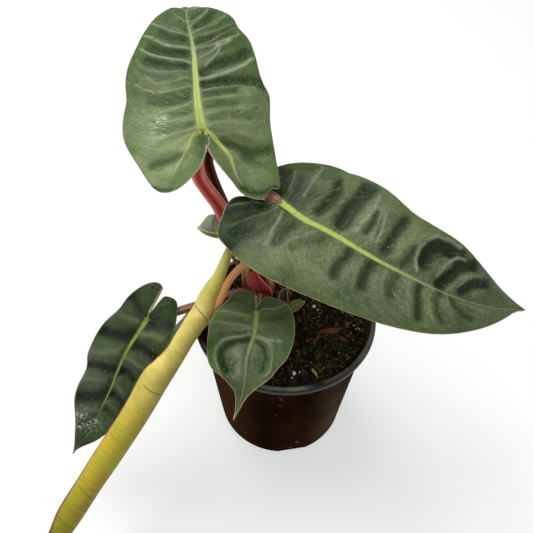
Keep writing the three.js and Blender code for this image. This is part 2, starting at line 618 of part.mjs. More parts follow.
for (const [name, spec] of Object.entries(SMALL)) {
  const [x, y, z] = spec.axis[1];
  const blade = toSolid(smallBlade(spec));
  const peg = new THREE.CylinderGeometry(0.9, 0.7, 6, 8);
  peg.rotateX(Math.PI / 2);
  peg.translate(x, y, z - 2.6);
  addPiece(name, toGeometry(blade.add(toSolid(peg))), spec.color, 0.6);
  const hole = new THREE.CylinderGeometry(1.3, 1.3, 20, 10);
  hole.rotateX(Math.PI / 2);
  hole.translate(x, y, z - 6 + 10);
  soilSolid = soilSolid.subtract(toSolid(hole));
}
addPiece('growing_mix', toGeometry(soilSolid), 0x1f1a12, 0.95);

// Pot wall from the underside up the outside, round the lip and down the inside.
const potProfile = [
  [0, 0], [FOOT_RADIUS - 1.2, 0], [FOOT_RADIUS, 1.2], [WALL_TOP_RADIUS, POT_HEIGHT - LIP_DEPTH],
  [LIP_RADIUS - 1.2, POT_HEIGHT - LIP_DEPTH + 0.1], [LIP_RADIUS - 0.3, POT_HEIGHT - LIP_DEPTH + 0.7],
  [LIP_RADIUS, POT_HEIGHT - 1.6], [LIP_RADIUS - 0.6, POT_HEIGHT - 0.5], [LIP_RADIUS - 1.8, POT_HEIGHT],
  [LIP_RADIUS - 3.1, POT_HEIGHT - 0.5], [LIP_RADIUS - 3.9, POT_HEIGHT - 1.8],
  [WALL_TOP_RADIUS - POT_WALL, POT_HEIGHT - LIP_DEPTH - 0.6], [FOOT_RADIUS - POT_WALL, FLOOR + 0.4],
  [FOOT_RADIUS - POT_WALL - 0.6, FLOOR], [0, FLOOR],
];
const pot = new THREE.LatheGeometry(potProfile.map(([x, y]) => new THREE.Vector2(x, y)), 56);
pot.rotateX(Math.PI / 2);
let potSolid = toSolid(pot);
for (const angle of SLOT_ANGLES) {
  const slot = new THREE.CylinderGeometry(1, 1, SLOT_REACH * 2, 20);
  slot.scale(SLOT_WIDTH / 2, 1, SLOT_HEIGHT);
  slot.translate(0, FOOT_RADIUS, 0);
  slot.rotateZ(THREE.MathUtils.degToRad(angle - 90));
  potSolid = potSolid.subtract(toSolid(slot));
}
addPiece('pot', toGeometry(potSolid), 0x241a16, 0.42);

export default part;
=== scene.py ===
import bpy
import math
import random
from mathutils import Euler, Matrix, Vector, kdtree, noise


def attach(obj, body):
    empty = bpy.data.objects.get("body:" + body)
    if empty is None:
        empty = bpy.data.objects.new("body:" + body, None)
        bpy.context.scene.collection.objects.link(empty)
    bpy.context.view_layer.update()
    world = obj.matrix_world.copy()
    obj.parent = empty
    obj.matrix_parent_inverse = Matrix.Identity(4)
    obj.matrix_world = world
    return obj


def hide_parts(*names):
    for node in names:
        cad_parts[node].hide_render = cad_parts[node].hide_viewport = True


# Potted philodendron billietiae: lengths in the dictionaries are millimetres,
# +Z is up, -Y is the front and the origin is the middle of the pot's underside.
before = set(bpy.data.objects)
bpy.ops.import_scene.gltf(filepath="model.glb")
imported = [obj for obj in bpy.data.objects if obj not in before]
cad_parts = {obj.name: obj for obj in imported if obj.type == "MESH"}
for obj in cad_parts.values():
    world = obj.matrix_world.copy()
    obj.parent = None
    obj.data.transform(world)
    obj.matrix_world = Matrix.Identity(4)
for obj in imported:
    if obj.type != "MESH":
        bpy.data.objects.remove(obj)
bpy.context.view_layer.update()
millimetre = 0.001  # the frame's own unit is the metre
print("frame loaded:", len(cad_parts), "nodes")


# Small helpers
def rgb(red, green, blue, alpha=1.0):  # screen colour 0-255 to the linear colour of a shader
    def linear(value):
        value /= 255
        return value / 12.92 if value <= 0.04045 else ((value + 0.055) / 1.055) ** 2.4
    return (linear(red), linear(green), linear(blue), alpha)


def smooth(value, low, high):
    t = min(max((value - low) / (high - low), 0.0), 1.0)
    return t * t * (3 - 2 * t)


def mix(a, b, t):
    return a + (b - a) * t


def deselectAll():
    if bpy.context.object and bpy.context.object.mode != 'OBJECT':
        bpy.ops.object.mode_set(mode='OBJECT')
    bpy.ops.object.select_all(action='DESELECT')


def pickOnly(piece):
    deselectAll()
    piece.select_set(True)
    bpy.context.view_layer.objects.active = piece


def weld(piece, distance=0.00001):  # merge doubles, drop slivers, point faces outwards
    pickOnly(piece)
    bpy.ops.object.mode_set(mode='EDIT')
    bpy.ops.mesh.select_all(action='SELECT')
    bpy.ops.mesh.remove_doubles(threshold=distance)
    bpy.ops.mesh.dissolve_degenerate(threshold=distance)
    bpy.ops.mesh.normals_make_consistent(inside=False)
    bpy.ops.object.mode_set(mode='OBJECT')


def writeValues(piece, values, uvs):  # named numbers and the texture place of each vertex
    for key, numbers in values.items():
        piece.data.attributes.new(key, 'FLOAT', 'POINT').data.foreach_set("value", numbers)
    uvLayer = piece.data.uv_layers.active or piece.data.uv_layers.new(name="UVMap")
    for loop in piece.data.loops:
        uvLayer.data[loop.index].uv = uvs[loop.vertex_index]


def placeInMesh(piece):
    pickOnly(piece)
    bpy.ops.object.transform_apply(location=True, rotation=True, scale=True)


def finishPiece(piece, nodes=()):
    piece.data.polygons.foreach_set("use_smooth", [True] * len(piece.data.polygons))
    piece.data.update()
    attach(piece, "root")
    if nodes:
        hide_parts(*nodes)
    return piece


def splineAt(rows, t):  # uniform Catmull-Rom through a list of tuples
    last = len(rows) - 1
    i = min(int(t), last - 1)
    f = t - i
    b, c = rows[i], rows[i + 1]
    a = rows[i - 1] if i > 0 else [2 * x - y for x, y in zip(b, c)]
    d = rows[i + 2] if i + 2 <= last else [2 * x - y for x, y in zip(c, b)]
    return [0.5 * (2 * q + (r - p) * f + (2 * p - 5 * q + 4 * r - s) * f * f
                   + (3 * q - p - 3 * r + s) * f ** 3) for p, q, r, s in zip(a, b, c, d)]


def stalkCurve(points, count):  # evenly spaced points on a centripetal Catmull-Rom curve
    points = [Vector(p) for p in points]
    dense = []
    for i in range(len(points) - 1):
        p1, p2 = points[i], points[i + 1]
        p0 = points[i - 1] if i > 0 else 2 * p1 - p2
        p3 = points[i + 2] if i + 2 < len(points) else 2 * p2 - p1
        d0, d1, d2 = (max((q - p).length ** 0.5, 1e-4) for p, q in ((p0, p1), (p1, p2), (p2, p3)))
        m1 = ((p1 - p0) / d0 - (p2 - p0) / (d0 + d1) + (p2 - p1) / d1) * d1
        m2 = ((p2 - p1) / d1 - (p3 - p1) / (d1 + d2) + (p3 - p2) / d2) * d1
        perSpan = 24
        for k in range(perSpan):
            t = k / perSpan
            dense.append(p1 * (2 * t ** 3 - 3 * t * t + 1) + m1 * (t ** 3 - 2 * t * t + t)
                         + p2 * (3 * t * t - 2 * t ** 3) + m2 * (t ** 3 - t * t))
    dense.append(points[-1])
    lengths = [0.0]
    for p, q in zip(dense, dense[1:]):
        lengths.append(lengths[-1] + (q - p).length)
    spaced, i = [], 0
    for k in range(count + 1):
        goal = lengths[-1] * k / count
        while i < len(lengths) - 2 and lengths[i + 1] < goal:
            i += 1
        f = (goal - lengths[i]) / max(lengths[i + 1] - lengths[i], 1e-6)
        spaced.append(dense[i].lerp(dense[i + 1], min(max(f, 0), 1)))
    return spaced, lengths[-1]


def addGrid(name, columns, rows):  # a plain grid whose vertices are then laid out by place
    deselectAll()
    bpy.ops.mesh.primitive_grid_add(x_subdivisions=columns, y_subdivisions=rows, size=1)
    piece = bpy.context.object
    piece.name = piece.data.name = name
    spots = []
    for vertex in piece.data.vertices:
        spots.append((round((vertex.co.x + 0.5) * columns), round((vertex.co.y + 0.5) * rows)))
    return piece, spots


# Material helpers
def addNode(tree, kind, **settings):
    node = tree.nodes.new(kind)
    for key, value in settings.items():
        setattr(node, key, value)
    return node


def feed(tree, socket, value):  # a number or colour is set, a socket is linked
    if isinstance(value, bpy.types.NodeSocket):
        tree.links.new(value, socket)
    elif value is not None:
        socket.default_value = value


def calc(tree, operation, a, b=None, clamp=False):
    node = addNode(tree, "ShaderNodeMath", operation=operation, use_clamp=clamp)
    feed(tree, node.inputs[0], a)
    feed(tree, node.inputs[1], b)
    return node.outputs[0]


def blendColour(tree, factor, a, b, blend='MIX'):
    node = addNode(tree, "ShaderNodeMix", data_type='RGBA', blend_type=blend)
    feed(tree, node.inputs[0], factor)
    feed(tree, node.inputs[6], a)
    feed(tree, node.inputs[7], b)
    return node.outputs[2]


def times(tree, first, second, clamp=False):
    return calc(tree, 'MULTIPLY', first, second, clamp)


def plus(tree, first, second, clamp=False):
    return calc(tree, 'ADD', first, second, clamp)


def paint(tree, colour, tone, mask, amount):  # lay a tone over a colour, through a mask and by an amount
    return blendColour(tree, times(tree, mask, amount), colour, tone)


def ramp(tree, value, fromLow, fromHigh, toLow=0.0, toHigh=1.0):
    node = addNode(tree, "ShaderNodeMapRange", interpolation_type='SMOOTHSTEP')
    for socket, item in zip(node.inputs[:5], (value, fromLow, fromHigh, toLow, toHigh)):
        feed(tree, socket, item)
    return node.outputs[0]


def cloud(tree, vector, scale, detail=3.0, roughness=0.55, distortion=0.0):
    node = addNode(tree, "ShaderNodeTexNoise")
    feed(tree, node.inputs["Vector"], vector)
    for key, value in (("Scale", scale), ("Detail", detail), ("Roughness", roughness),
                       ("Distortion", distortion)):
        feed(tree, node.inputs[key], value)
    return node.outputs[0]


def cells(tree, vector, scale, feature='F1', randomness=1.0):
    node = addNode(tree, "ShaderNodeTexVoronoi", feature=feature)
    feed(tree, node.inputs["Vector"], vector)
    feed(tree, node.inputs["Scale"], scale)
    feed(tree, node.inputs["Randomness"], randomness)
    return node


def stretched(tree, vector, scale):
    node = addNode(tree, "ShaderNodeMapping")
    feed(tree, node.inputs["Vector"], vector)
    node.inputs["Scale"].default_value = scale
    return node.outputs[0]


def attribute(tree, name):
    return addNode(tree, "ShaderNodeAttribute", attribute_name=name).outputs["Fac"]


def coords(tree, kind="Object"):
    return addNode(tree, "ShaderNodeTexCoord").outputs[kind]


def newGroup(name, inputs, outputs):
    group = bpy.data.node_groups.new(name, "ShaderNodeTree")
    for label, value in inputs.items():  # a tuple makes a colour socket
        kind = "NodeSocketColor" if isinstance(value, tuple) else "NodeSocketFloat"
        group.interface.new_socket(label, in_out='INPUT', socket_type=kind).default_value = value
    for label in outputs:
        kind = "NodeSocketColor" if label == "Color" else "NodeSocketFloat"
        group.interface.new_socket(label, in_out='OUTPUT', socket_type=kind)
    return group, addNode(group, "NodeGroupInput"), addNode(group, "NodeGroupOutput")


def newMaterial(name, roughness=0.5, **fixed):
    material = bpy.data.materials.new(name)
    material.use_nodes = True
    shader = material.node_tree.nodes["Principled BSDF"]
    shader.inputs["Roughness"].default_value = roughness
    for key, value in fixed.items():
        shader.inputs[key].default_value = value
    return material, material.node_tree, shader


def useGroup(tree, group, **values):
    node = addNode(tree, "ShaderNodeGroup", node_tree=group)
    for key, value in values.items():
        node.inputs[key].default_value = value
    return node


def bumpFrom(tree, shader, height, distance, strength=1.0):
    bump = addNode(tree, "ShaderNodeBump")
    bump.inputs["Strength"].default_value = strength
    bump.inputs["Distance"].default_value = distance
    feed(tree, bump.inputs["Height"], height)
    feed(tree, shader.inputs["Normal"], bump.outputs[0])


# Stage: camera, light and floor
# focal length and frame in pixels, sensor in millimetres, angles in degrees
view = {"focal": 560, "frame": 533, "sensor": 36, "pitch": 46.8, "roll": 0.86, "place": (-13.8, -251.7, 433.6)}


def viewDirections():  # where the photograph's camera has its ahead, right and up
    pitch, roll = math.radians(view["pitch"]), math.radians(view["roll"])
    level, upright = Vector((1, 0, 0)), Vector((0, math.sin(pitch), math.cos(pitch)))
    return (Vector((0, math.cos(pitch), -math.sin(pitch))), level * math.cos(roll) + upright * math.sin(roll),
            upright * math.cos(roll) - level * math.sin(roll))


def photoSpot(point):  # the pixel of the photograph at which a point in millimetres lies
    ahead, right, up = viewDirections()
    sight = point - Vector(view["place"])
    depth = sight.dot(ahead) / view["focal"]
    return view["frame"] / 2 + sight.dot(right) / depth, view["frame"] / 2 - sight.dot(up) / depth


def addCamera():
    ahead, right, up = viewDirections()
    place = Vector(view["place"]) * millimetre
    deselectAll()
    bpy.ops.object.camera_add()
    camera = bpy.context.object
    camera.name = "camera"
    camera.data.sensor_width = view["sensor"]
    camera.data.lens = view["sensor"] * view["focal"] / view["frame"]
    camera.data.clip_start = 0.01
    camera.matrix_world = Matrix(((right.x, up.x, -ahead.x, place.x), (right.y, up.y, -ahead.y, place.y),
                                  (right.z, up.z, -ahead.z, place.z), (0, 0, 0, 1)))
    bpy.context.scene.camera = camera


lamps = [
    # name, place in metres, aim, size, watts, colour
    ("windowLight", (-0.66, 0.7, 1.9), (0.0, 0.0, 0.12), 1.4, 44.0, (1.0, 0.99, 0.97)),
    ("frontFill", (0.4, -0.9, 0.9), (0.0, 0.0, 0.1), 0.9, 3.2, (0.97, 0.98, 1.0)),
]


def addStage():
    addCamera()
    for name, place, aim, size, watts, colour in lamps:
        deselectAll()
        bpy.ops.object.light_add(type='AREA', location=place)
        lamp = bpy.context.object
        lamp.name = name
        lamp.rotation_euler = (Vector(aim) - Vector(place)).to_track_quat('-Z', 'Y').to_euler()
        lamp.data.size = size
        lamp.data.energy = watts
        lamp.data.color = colour
    world = bpy.data.worlds.new("paleRoom")
    world.use_nodes = True
    world.node_tree.nodes["Background"].inputs["Color"].default_value = (0.96, 0.98, 1.0, 1)
    world.node_tree.nodes["Background"].inputs["Strength"].default_value = 0.45
    bpy.context.scene.world = world
    bpy.context.scene.view_settings.view_transform = 'Standard'
    deselectAll()
    bpy.ops.mesh.primitive_plane_add(size=6)
    floor = bpy.context.object
    floor.name = "floor"
    material, _, shader = newMaterial("floorPaint", roughness=0.9)
    shader.inputs["Base Color"].default_value = (0.36, 0.36, 0.36, 1)
    shader.inputs["Emission Color"].default_value = (1, 1, 1, 1)
    shader.inputs["Emission Strength"].default_value = 0.55
    floor.data.materials.append(material)
    print("stage ready")


addStage()


# Leaf material
def leafPattern():
    # Deep is painted shade in the hollows and Crest is painted highlight on the ridges; both also mottle the
    # face at random
    group, start, end = newGroup("leafPattern", {
        "Deep": rgb(30, 48, 14), "Dark": rgb(50, 66, 34), "Light": rgb(100, 116, 78),
        "Crest": rgb(140, 150, 120), "Flush": rgb(74, 104, 44), "Rib": rgb(190, 206, 115),
        "Vein": rgb(140, 155, 110), "Edge": rgb(190, 170, 140), "Vein Amount": 0.6, "Fine Amount": 0.25,
        "Flush Amount": 0.4, "Shade Tip": 0.0, "Dust": 0.2, "Wisp Amount": 0.5, "Base": rgb(60, 76, 40),
        "Base Amount": 0.0, "Base Right": 1.0, "Edge Width": 0.6},
        ["Color", "Height", "Roughness"])
    take = start.outputs
    place = coords(group)
    uv = coords(group, "UV")
    rib, vein, edge, crest, hollow, fresh, sheenSpot = (
        attribute(group, n) for n in ("ribRatio", "veinRatio", "edgeDistance", "crest", "hollow", "fresh",
                                      "sheenSpot"))
    wide = cloud(group, place, 26, 4.0, 0.6)
    fine = cloud(group, place, 190, 4.0, 0.6)
    grain = cloud(group, place, 1400, 2.0)
    # fine strands run out from the midrib beside the veins and turn forward near the margin
    flat = addNode(group, "ShaderNodeSeparateXYZ")
    feed(group, flat.inputs[0], uv)
    turned = times(group, calc(group, 'POWER', calc(group, 'ABSOLUTE', flat.outputs[1]), 3.0), 1.7)
    swept = addNode(group, "ShaderNodeCombineXYZ")
    feed(group, swept.inputs[0], calc(group, 'SUBTRACT', flat.outputs[0], turned))
    feed(group, swept.inputs[1], flat.outputs[1])
    uv = swept.outputs[0]
    split = addNode(group, "ShaderNodeSeparateXYZ")
    feed(group, split.inputs[0], uv)
    wobble = times(group, cloud(group, place, 70, 3.0), 1.5)
    strand = calc(group, 'PINGPONG', plus(group, times(group, split.outputs[0], 5.0), wobble), 0.5)
    strandMask = times(group, ramp(group, strand, 0.0, 0.11, 1.0, 0.0),
                       ramp(group, cloud(group, place, 70, 3.0), 0.42, 0.66))
    streaks = cloud(group, stretched(group, uv, (14.0, 4.0, 1.0)), 1.0, 3.0, 0.6, 0.9)
    net = cells(group, place, 420, 'DISTANCE_TO_EDGE').outputs["Distance"]
    netMask = ramp(group, net, 0.0, 0.09, 1.0, 0.0)
    ribMask = ramp(group, rib, 0.75, 1.15, 1.0, 0.0)
    ribGlow = ramp(group, rib, 0.8, 2.0, 0.2, 0.0)
    veinMask = ramp(group, vein, 0.25, 1.5, 1.0, 0.0)
    veinGlow = ramp(group, vein, 0.5, 5.0, 1.0, 0.0)
    edgeMask = ramp(group, calc(group, 'DIVIDE', edge, take["Edge Width"]), 0.6, 1.2, 1.0, 0.0)
    colour = blendColour(group, ramp(group, wide, 0.32, 0.68), take["Dark"], take["Light"])
    colour = paint(group, colour, take["Light"], ramp(group, fine, 0.35, 0.75), 0.3)
    colour = paint(group, colour, take["Dark"], ramp(group, streaks, 0.4, 0.7), 0.24)
    mottle = cloud(group, place, 820, 3.0, 0.7)
    colour = blendColour(group, ramp(group, mottle, 0.5, 0.64, 0.0, 0.17), colour, take["Crest"])
    colour = blendColour(group, ramp(group, mottle, 0.36, 0.5, 0.24, 0.0), colour, take["Deep"])
    along = attribute(group, "along")
    colour = paint(group, colour, blendColour(group, 0.35, take["Dark"], take["Deep"]),
                   ramp(group, along, 0.0, 0.5), take["Shade Tip"])
    # the lobes take the Base tone: painted light on the upper leaf's lit lobes, painted shade on the right
    # leaf's lobes under the upper leaf, and the lobes' own colour on the other leaves
    lobes = ramp(group, plus(group, along, times(group, wide, 0.2)), 0.02, 0.24, 1.0, 0.0)
    lobes = times(group, lobes, ramp(group, flat.outputs[1], -0.1, 0.1, 1.0, take["Base Right"]))
    colour = paint(group, colour, take["Base"], lobes, take["Base Amount"])
    flush = times(group, ramp(group, edge, 1.0, 13.0, 1.0, 0.12), ramp(group, wide, 0.4, 0.58))
    colour = paint(group, colour, take["Flush"], flush, take["Flush Amount"])
    unevenness = calc(group, 'SUBTRACT', fine, 0.5)
    # painted shade: the hollows of the traced folds take the Deep tone, where shade falls between the ridges
    paintedShadeMask = ramp(group, plus(group, hollow, times(group, unevenness, 0.3)), 0.1, 0.85)
    colour = paint(group, colour, take["Deep"], paintedShadeMask, 0.95)
    # painted highlight: the traced ridges take the pale Crest tone of lit flanks and sheen
    paintedHighlightMask = ramp(group, plus(group, crest, times(group, unevenness, 0.35)), 0.25, 0.95)
    colour = paint(group, colour, take["Crest"], paintedHighlightMask, 0.75)
    for mask, amount, share in ((netMask, "Fine Amount", 0.5), (strandMask, "Fine Amount", 1.0),
                                (veinGlow, "Vein Amount", 0.22), (veinMask, "Vein Amount", 1.0)):
        colour = paint(group, colour, take["Vein"], mask, times(group, take[amount], share))
    # short pale and dark scratches follow the veins
    wisps = cloud(group, stretched(group, uv, (9.0, 6.5, 1.0)), 1.0, 5.0, 0.74, 1.5)
    wispMask = times(group, ramp(group, wisps, 0.56, 0.66), ramp(group, fine, 0.35, 0.62, 0.1, 1.0))
    colour = paint(group, colour, take["Crest"], wispMask, take["Wisp Amount"])
    darkWisps = times(group, ramp(group, wisps, 0.36, 0.47, 1.0, 0.0), 0.5)
    colour = blendColour(group, darkWisps, colour, take["Deep"])
    dots = cells(group, place, 330)
    dotMask = times(group, ramp(group, dots.outputs["Distance"], 0.08, 0.16, 1.0, 0.0),
                    ramp(group, cloud(group, place, 60, 2.0), 0.5, 0.62))
    colour = paint(group, colour, rgb(214, 220, 200), dotMask, take["Dust"])
    speck = cells(group, place, 95)
    speckMask = times(group, ramp(group, speck.outputs["Distance"], 0.05, 0.085, 0.85, 0.0),
                      ramp(group, cloud(group, place, 31, 1.0), 0.6, 0.63))
    colour = blendColour(group, speckMask, colour, rgb(26, 22, 12))
    # painted sheen: pale grey streaks of reflected light in the listed sheen spots
    sheenSmear = ramp(group, cloud(group, stretched(group, place, (150, 420, 420)), 1.0, 4.0, 0.65, 1.2), 0.5,
                 0.66)
    colour = paint(group, colour, rgb(196, 208, 186), sheenSmear, sheenSpot)
    ribTone = blendColour(group, ramp(group, fine, 0.3, 0.7), take["Rib"], take["Vein"])
    ribTone = blendColour(group, 0.3, take["Rib"], ribTone)
    ribTone = blendColour(group, fresh, take["Crest"], ribTone)
    freshMask = plus(group, times(group, fresh, 0.65), 0.35)
    colour = paint(group, colour, take["Rib"], ribGlow, freshMask)
    colour = paint(group, colour, ribTone, ribMask, freshMask)
    colour = blendColour(group, edgeMask, colour, take["Edge"])
    scabMask = ramp(group, plus(group, attribute(group, "scab"), times(group, fine, 0.5)), 0.62, 0.8)
    colour = blendColour(group, scabMask, colour, rgb(62, 36, 18))
    feed(group, end.inputs["Color"], colour)
    height = times(group, strandMask, -0.15)
    for relief, share in ((netMask, -0.12), (veinMask, 0.8), (plus(group, streaks, wisps), 0.8), (fine, 0.9),
                          (grain, 0.08)):
        height = plus(group, height, times(group, relief, share))
    feed(group, end.inputs["Height"], height)
    shine = ramp(group, fine, 0.3, 0.75, 0.0, 0.16)
    feed(group, end.inputs["Roughness"], plus(group, shine, ramp(group, wide, 0.3, 0.7, 0.34, 0.46)))
    return group


leafGroup = leafPattern()


def leafMaterial(name, tones, coat=0.0, roughen=0.0, bump=0.00042, gloss=0.15):
    material, tree, shader = newMaterial(name, **{"Coat Weight": coat, "Coat Roughness": 0.25,
                                                  "Specular IOR Level": gloss})
    node = useGroup(tree, leafGroup, **tones)
    feed(tree, shader.inputs["Base Color"], node.outputs["Color"])
    feed(tree, shader.inputs["Roughness"], plus(tree, node.outputs["Roughness"], roughen, True))
    bumpFrom(tree, shader, node.outputs["Height"], bump)
    return material


# Blades
def buildMidrib(leaf):  # the midrib as evenly spaced points and frames, softened so that no kink shows
    rows = [(*p, math.radians(r)) for p, r in zip(leaf["axis"], leaf["rolls"])]
    perPoint = 16  # dense points between two given ones
    dense = [splineAt(rows, i / perPoint) for i in range((len(rows) - 1) * perPoint + 1)]
    runs = [0.0]
    for p, q in zip(dense, dense[1:]):
        runs.append(runs[-1] + (Vector(q[:3]) - Vector(p[:3])).length)
    count, spaced, i = 180, [], 0
    for k in range(count + 1):
        goal = runs[-1] * k / count
        while i < len(runs) - 2 and runs[i + 1] < goal:
            i += 1
        f = (goal - runs[i]) / (runs[i + 1] - runs[i])
        spaced.append(Vector([mix(x, y, f) for x, y in zip(dense[i], dense[i + 1])]))

    def soften(items, reach):
        result = []
        for k in range(count + 1):
            span = min(reach, k, count - k)
            weights = [math.exp(-2 * (n / (span + 0.5)) ** 2) for n in range(-span, span + 1)]
            result.append(sum((items[k + n] * w for n, w in zip(range(-span, span + 1), weights)),
                              items[k] * 0)
                          / sum(weights))
        return result
    spaced = soften(spaced, leaf.get("soften", 12))
    points = [Vector(p[:3]) for p in spaced]
    slopes = [(points[min(k + 1, count)] - points[max(k - 1, 0)]).normalized() for k in range(count + 1)]
    slopes = [q.normalized() for q in soften(slopes, leaf.get("soften", 12))]
    return {"points": points, "slopes": slopes, "rolls": [p[3] for p in spaced],
            # the stalk joins at the second point of the axis
            "start": -runs[perPoint], "step": runs[-1] / count}


def midribFrame(midrib, along):
    last = len(midrib["points"]) - 1
    place = (along - midrib["start"]) / midrib["step"]
    held = min(max(place, 0.0), last - 1e-6)
    i, f = int(held), held - int(held)
    tangent = midrib["slopes"][i].lerp(midrib["slopes"][i + 1], f).normalized()
    point = midrib["points"][i].lerp(midrib["points"][i + 1], f) + tangent * ((place - held) * midrib["step"])
    flat = tangent.cross(Vector((0, 0, 1))).normalized()
    roll = mix(midrib["rolls"][i], midrib["rolls"][i + 1], f)
    side = flat * math.cos(roll) + flat.cross(tangent) * math.sin(roll)
    return point, tangent, side, side.cross(tangent)


def flatPoint(leaf, midrib, u, w):  # the blade without its arch, pillows and folds
    point, _, side, normal = midribFrame(midrib, u)
    fold = math.radians(leaf["fold"][1 if w >= 0 else 0])
    return point + side * (w * math.cos(fold)) + normal * (abs(w) * math.sin(fold) - leaf["droop"] * w * w)


def placedFolds(leaf):  # the traced lines, moved from the photograph's pixels onto the blade
    midrib = buildMidrib({**leaf, "soften": 0})
    def miss(spot, target):
        x, y = photoSpot(flatPoint(leaf, midrib, *spot))
        return (x - target[0]) ** 2 + (y - target[1]) ** 2

    coarse, fine, lobes, half = 4, 0.4, 48, 56  # search steps and limits in millimetres
    end = int(leaf.get("tracedTo", leaf["left"][-1][0])) + 6  # further on the blade turns out of sight
    spots = [(u, w) for u in range(-lobes, end, coarse) for w in range(-half, half + 1, coarse)]
    pixels = [photoSpot(flatPoint(leaf, midrib, u, w)) for u, w in spots]
    placed = []
    for size, width, *targets in leaf.get("folds", []):
        line = []
        for target in targets:
            gaps = [(x - target[0]) ** 2 + (y - target[1]) ** 2 for x, y in pixels]
            spot, step = spots[gaps.index(min(gaps))], coarse / 2
            while step > fine:
                tries = [(spot[0] + i * step, spot[1] + j * step) for i in (0, -1, 1) for j in (0, -1, 1)]
                best = min(tries, key=lambda item: miss(item, target))
                if best == spot:
                    step /= 2
                spot = best
            line.append(spot)
        placed.append((size, width, *line))
    return placed


def foldAt(folds, u, w):  # traced ridges and hollows of the blade: height, ridge share, hollow share
    height = ridge = hollow = 0.0
    for size, width, low, high, points in folds:
        if not (low[0] < u < high[0] and low[1] < w < high[1]):
            continue
        nearest = 1e9
        for (u0, w0), (u1, w1) in zip(points, points[1:]):
            du, dw = u1 - u0, w1 - w0
            t = min(max(((u - u0) * du + (w - w0) * dw) / (du * du + dw * dw + 1e-9), 0), 1)
            nearest = min(nearest, (u - u0 - t * du) ** 2 + (w - w0 - t * dw) ** 2)
        reach = math.sqrt(nearest) / width
        if size > 0:
            ridge += size * math.exp(-(reach * 1.9) ** 1.3)
            share = size * math.exp(-reach ** 1.6)
        else:
            share = size * math.exp(-reach ** 2)
            hollow -= share
        height += share
    return height, ridge, hollow


def foldBoxes(lines):
    boxes = []
    for size, width, *points in lines:
        grow = width * 2.8
        low = (min(p[0] for p in points) - grow, min(p[1] for p in points) - grow)
        high = (max(p[0] for p in points) + grow, max(p[1] for p in points) + grow)
        boxes.append((size, width, low, high, points))
    return boxes


def bladePoint(leaf, midrib, rows, a, b, folds=None):
    along, across, ribAt = splineAt(rows, a)[:3]
    row = min(int(a), len(rows) - 2)
    between = min(max(a - row, 0.0), 1.0)
    root = 0.5 * (ribAt + math.sqrt(ribAt * ribAt + 3.0)) * min(1.0, a)
    u = root + (along - root) * b ** leaf["sweep"]
    w = across * b
    far = 1 if across >= 0 else -1
    fold = math.radians(leaf["fold"][1 if far > 0 else 0])
    swell = math.sin(math.pi * between) ** 1.2 * math.sin(math.pi * b ** 0.75) ** 0.7
    relief = (0.0, 0.0, 0.0)
    pillow = rows[row][3] * swell
    if folds:  # the plain pillows take over where the tracing ends
        tracedTo = leaf.get("tracedTo", 999)
        pillow *= mix(0.15, 1.0, smooth(u, tracedTo - 12, tracedTo))
        relief = foldAt(folds, u, w)
        calm = smooth(abs(w) if u > 0 else math.hypot(u, w), 0.8, leaf["ribWidth"] + 2.5)
        calm *= 1 - smooth(b, 0.86, 1.0) * 0.8
        calm *= 1 - smooth(u, tracedTo - 18, tracedTo - 2)
        pillow += relief[0] * calm * leaf.get("foldDepth", 1.0)
    height = pillow
    height += leaf["arch"] * 4 * b * (1 - b) * min(1, abs(across) / 30)
    height += leaf["wave"] * math.sin(math.pi * a * 0.5 + far) * b ** 3
    height += abs(w) * math.sin(fold) - leaf["droop"] * w * w
    if folds is not None:
        window = smooth(abs(w), 0.0, 5.0) * (1 - smooth(b, 0.85, 1.0))
        ripple = noise.noise(Vector((u / 11, w / 11, leaf["seed"])))
        ripple += 0.5 * noise.noise(Vector((u / 4.5, w / 4.5, leaf["seed"] + 7)))
        height += leaf["crinkle"] * window * ripple
    point, _, side, normal = midribFrame(midrib, u)
    return point + side * (w * math.cos(fold)) + normal * height, u, w, relief


def bladeStations(leaf):  # matching places on both halves, from the lobes to the tip
    left, right = leaf["left"], leaf["right"]
    fanLeft = max(i for i, row in enumerate(left) if row[2] <= 0)
    fanRight = max(i for i, row in enumerate(right) if row[2] <= 0)
    common = math.lcm(fanLeft, fanRight)
    steps = common * max(1, round(leaf["fanRows"] / common))
    pairs = [(fanLeft * i / steps, fanRight * i / steps) for i in range(steps)]
    for k in range(len(left) - 1 - fanLeft):
        pairs += [(fanLeft + k + i / leaf["rowsPerVein"], fanRight + k + i / leaf["rowsPerVein"])
                  for i in range(leaf["rowsPerVein"])]
    pairs.append((len(left) - 1, len(right) - 1))
    return pairs


def lineTree(points):
    tree = kdtree.KDTree(max(1, len(points)))
    for i, point in enumerate(points):
        tree.insert((point[0], point[1], 0), i)
    tree.balance()
    return tree


def patchAt(patches, u, w):  # soft round patches: place along, place across, radius
    return min(1.0, sum(math.exp(-((u - p) ** 2 + (w - q) ** 2) / (r * r)) for p, q, r in patches))


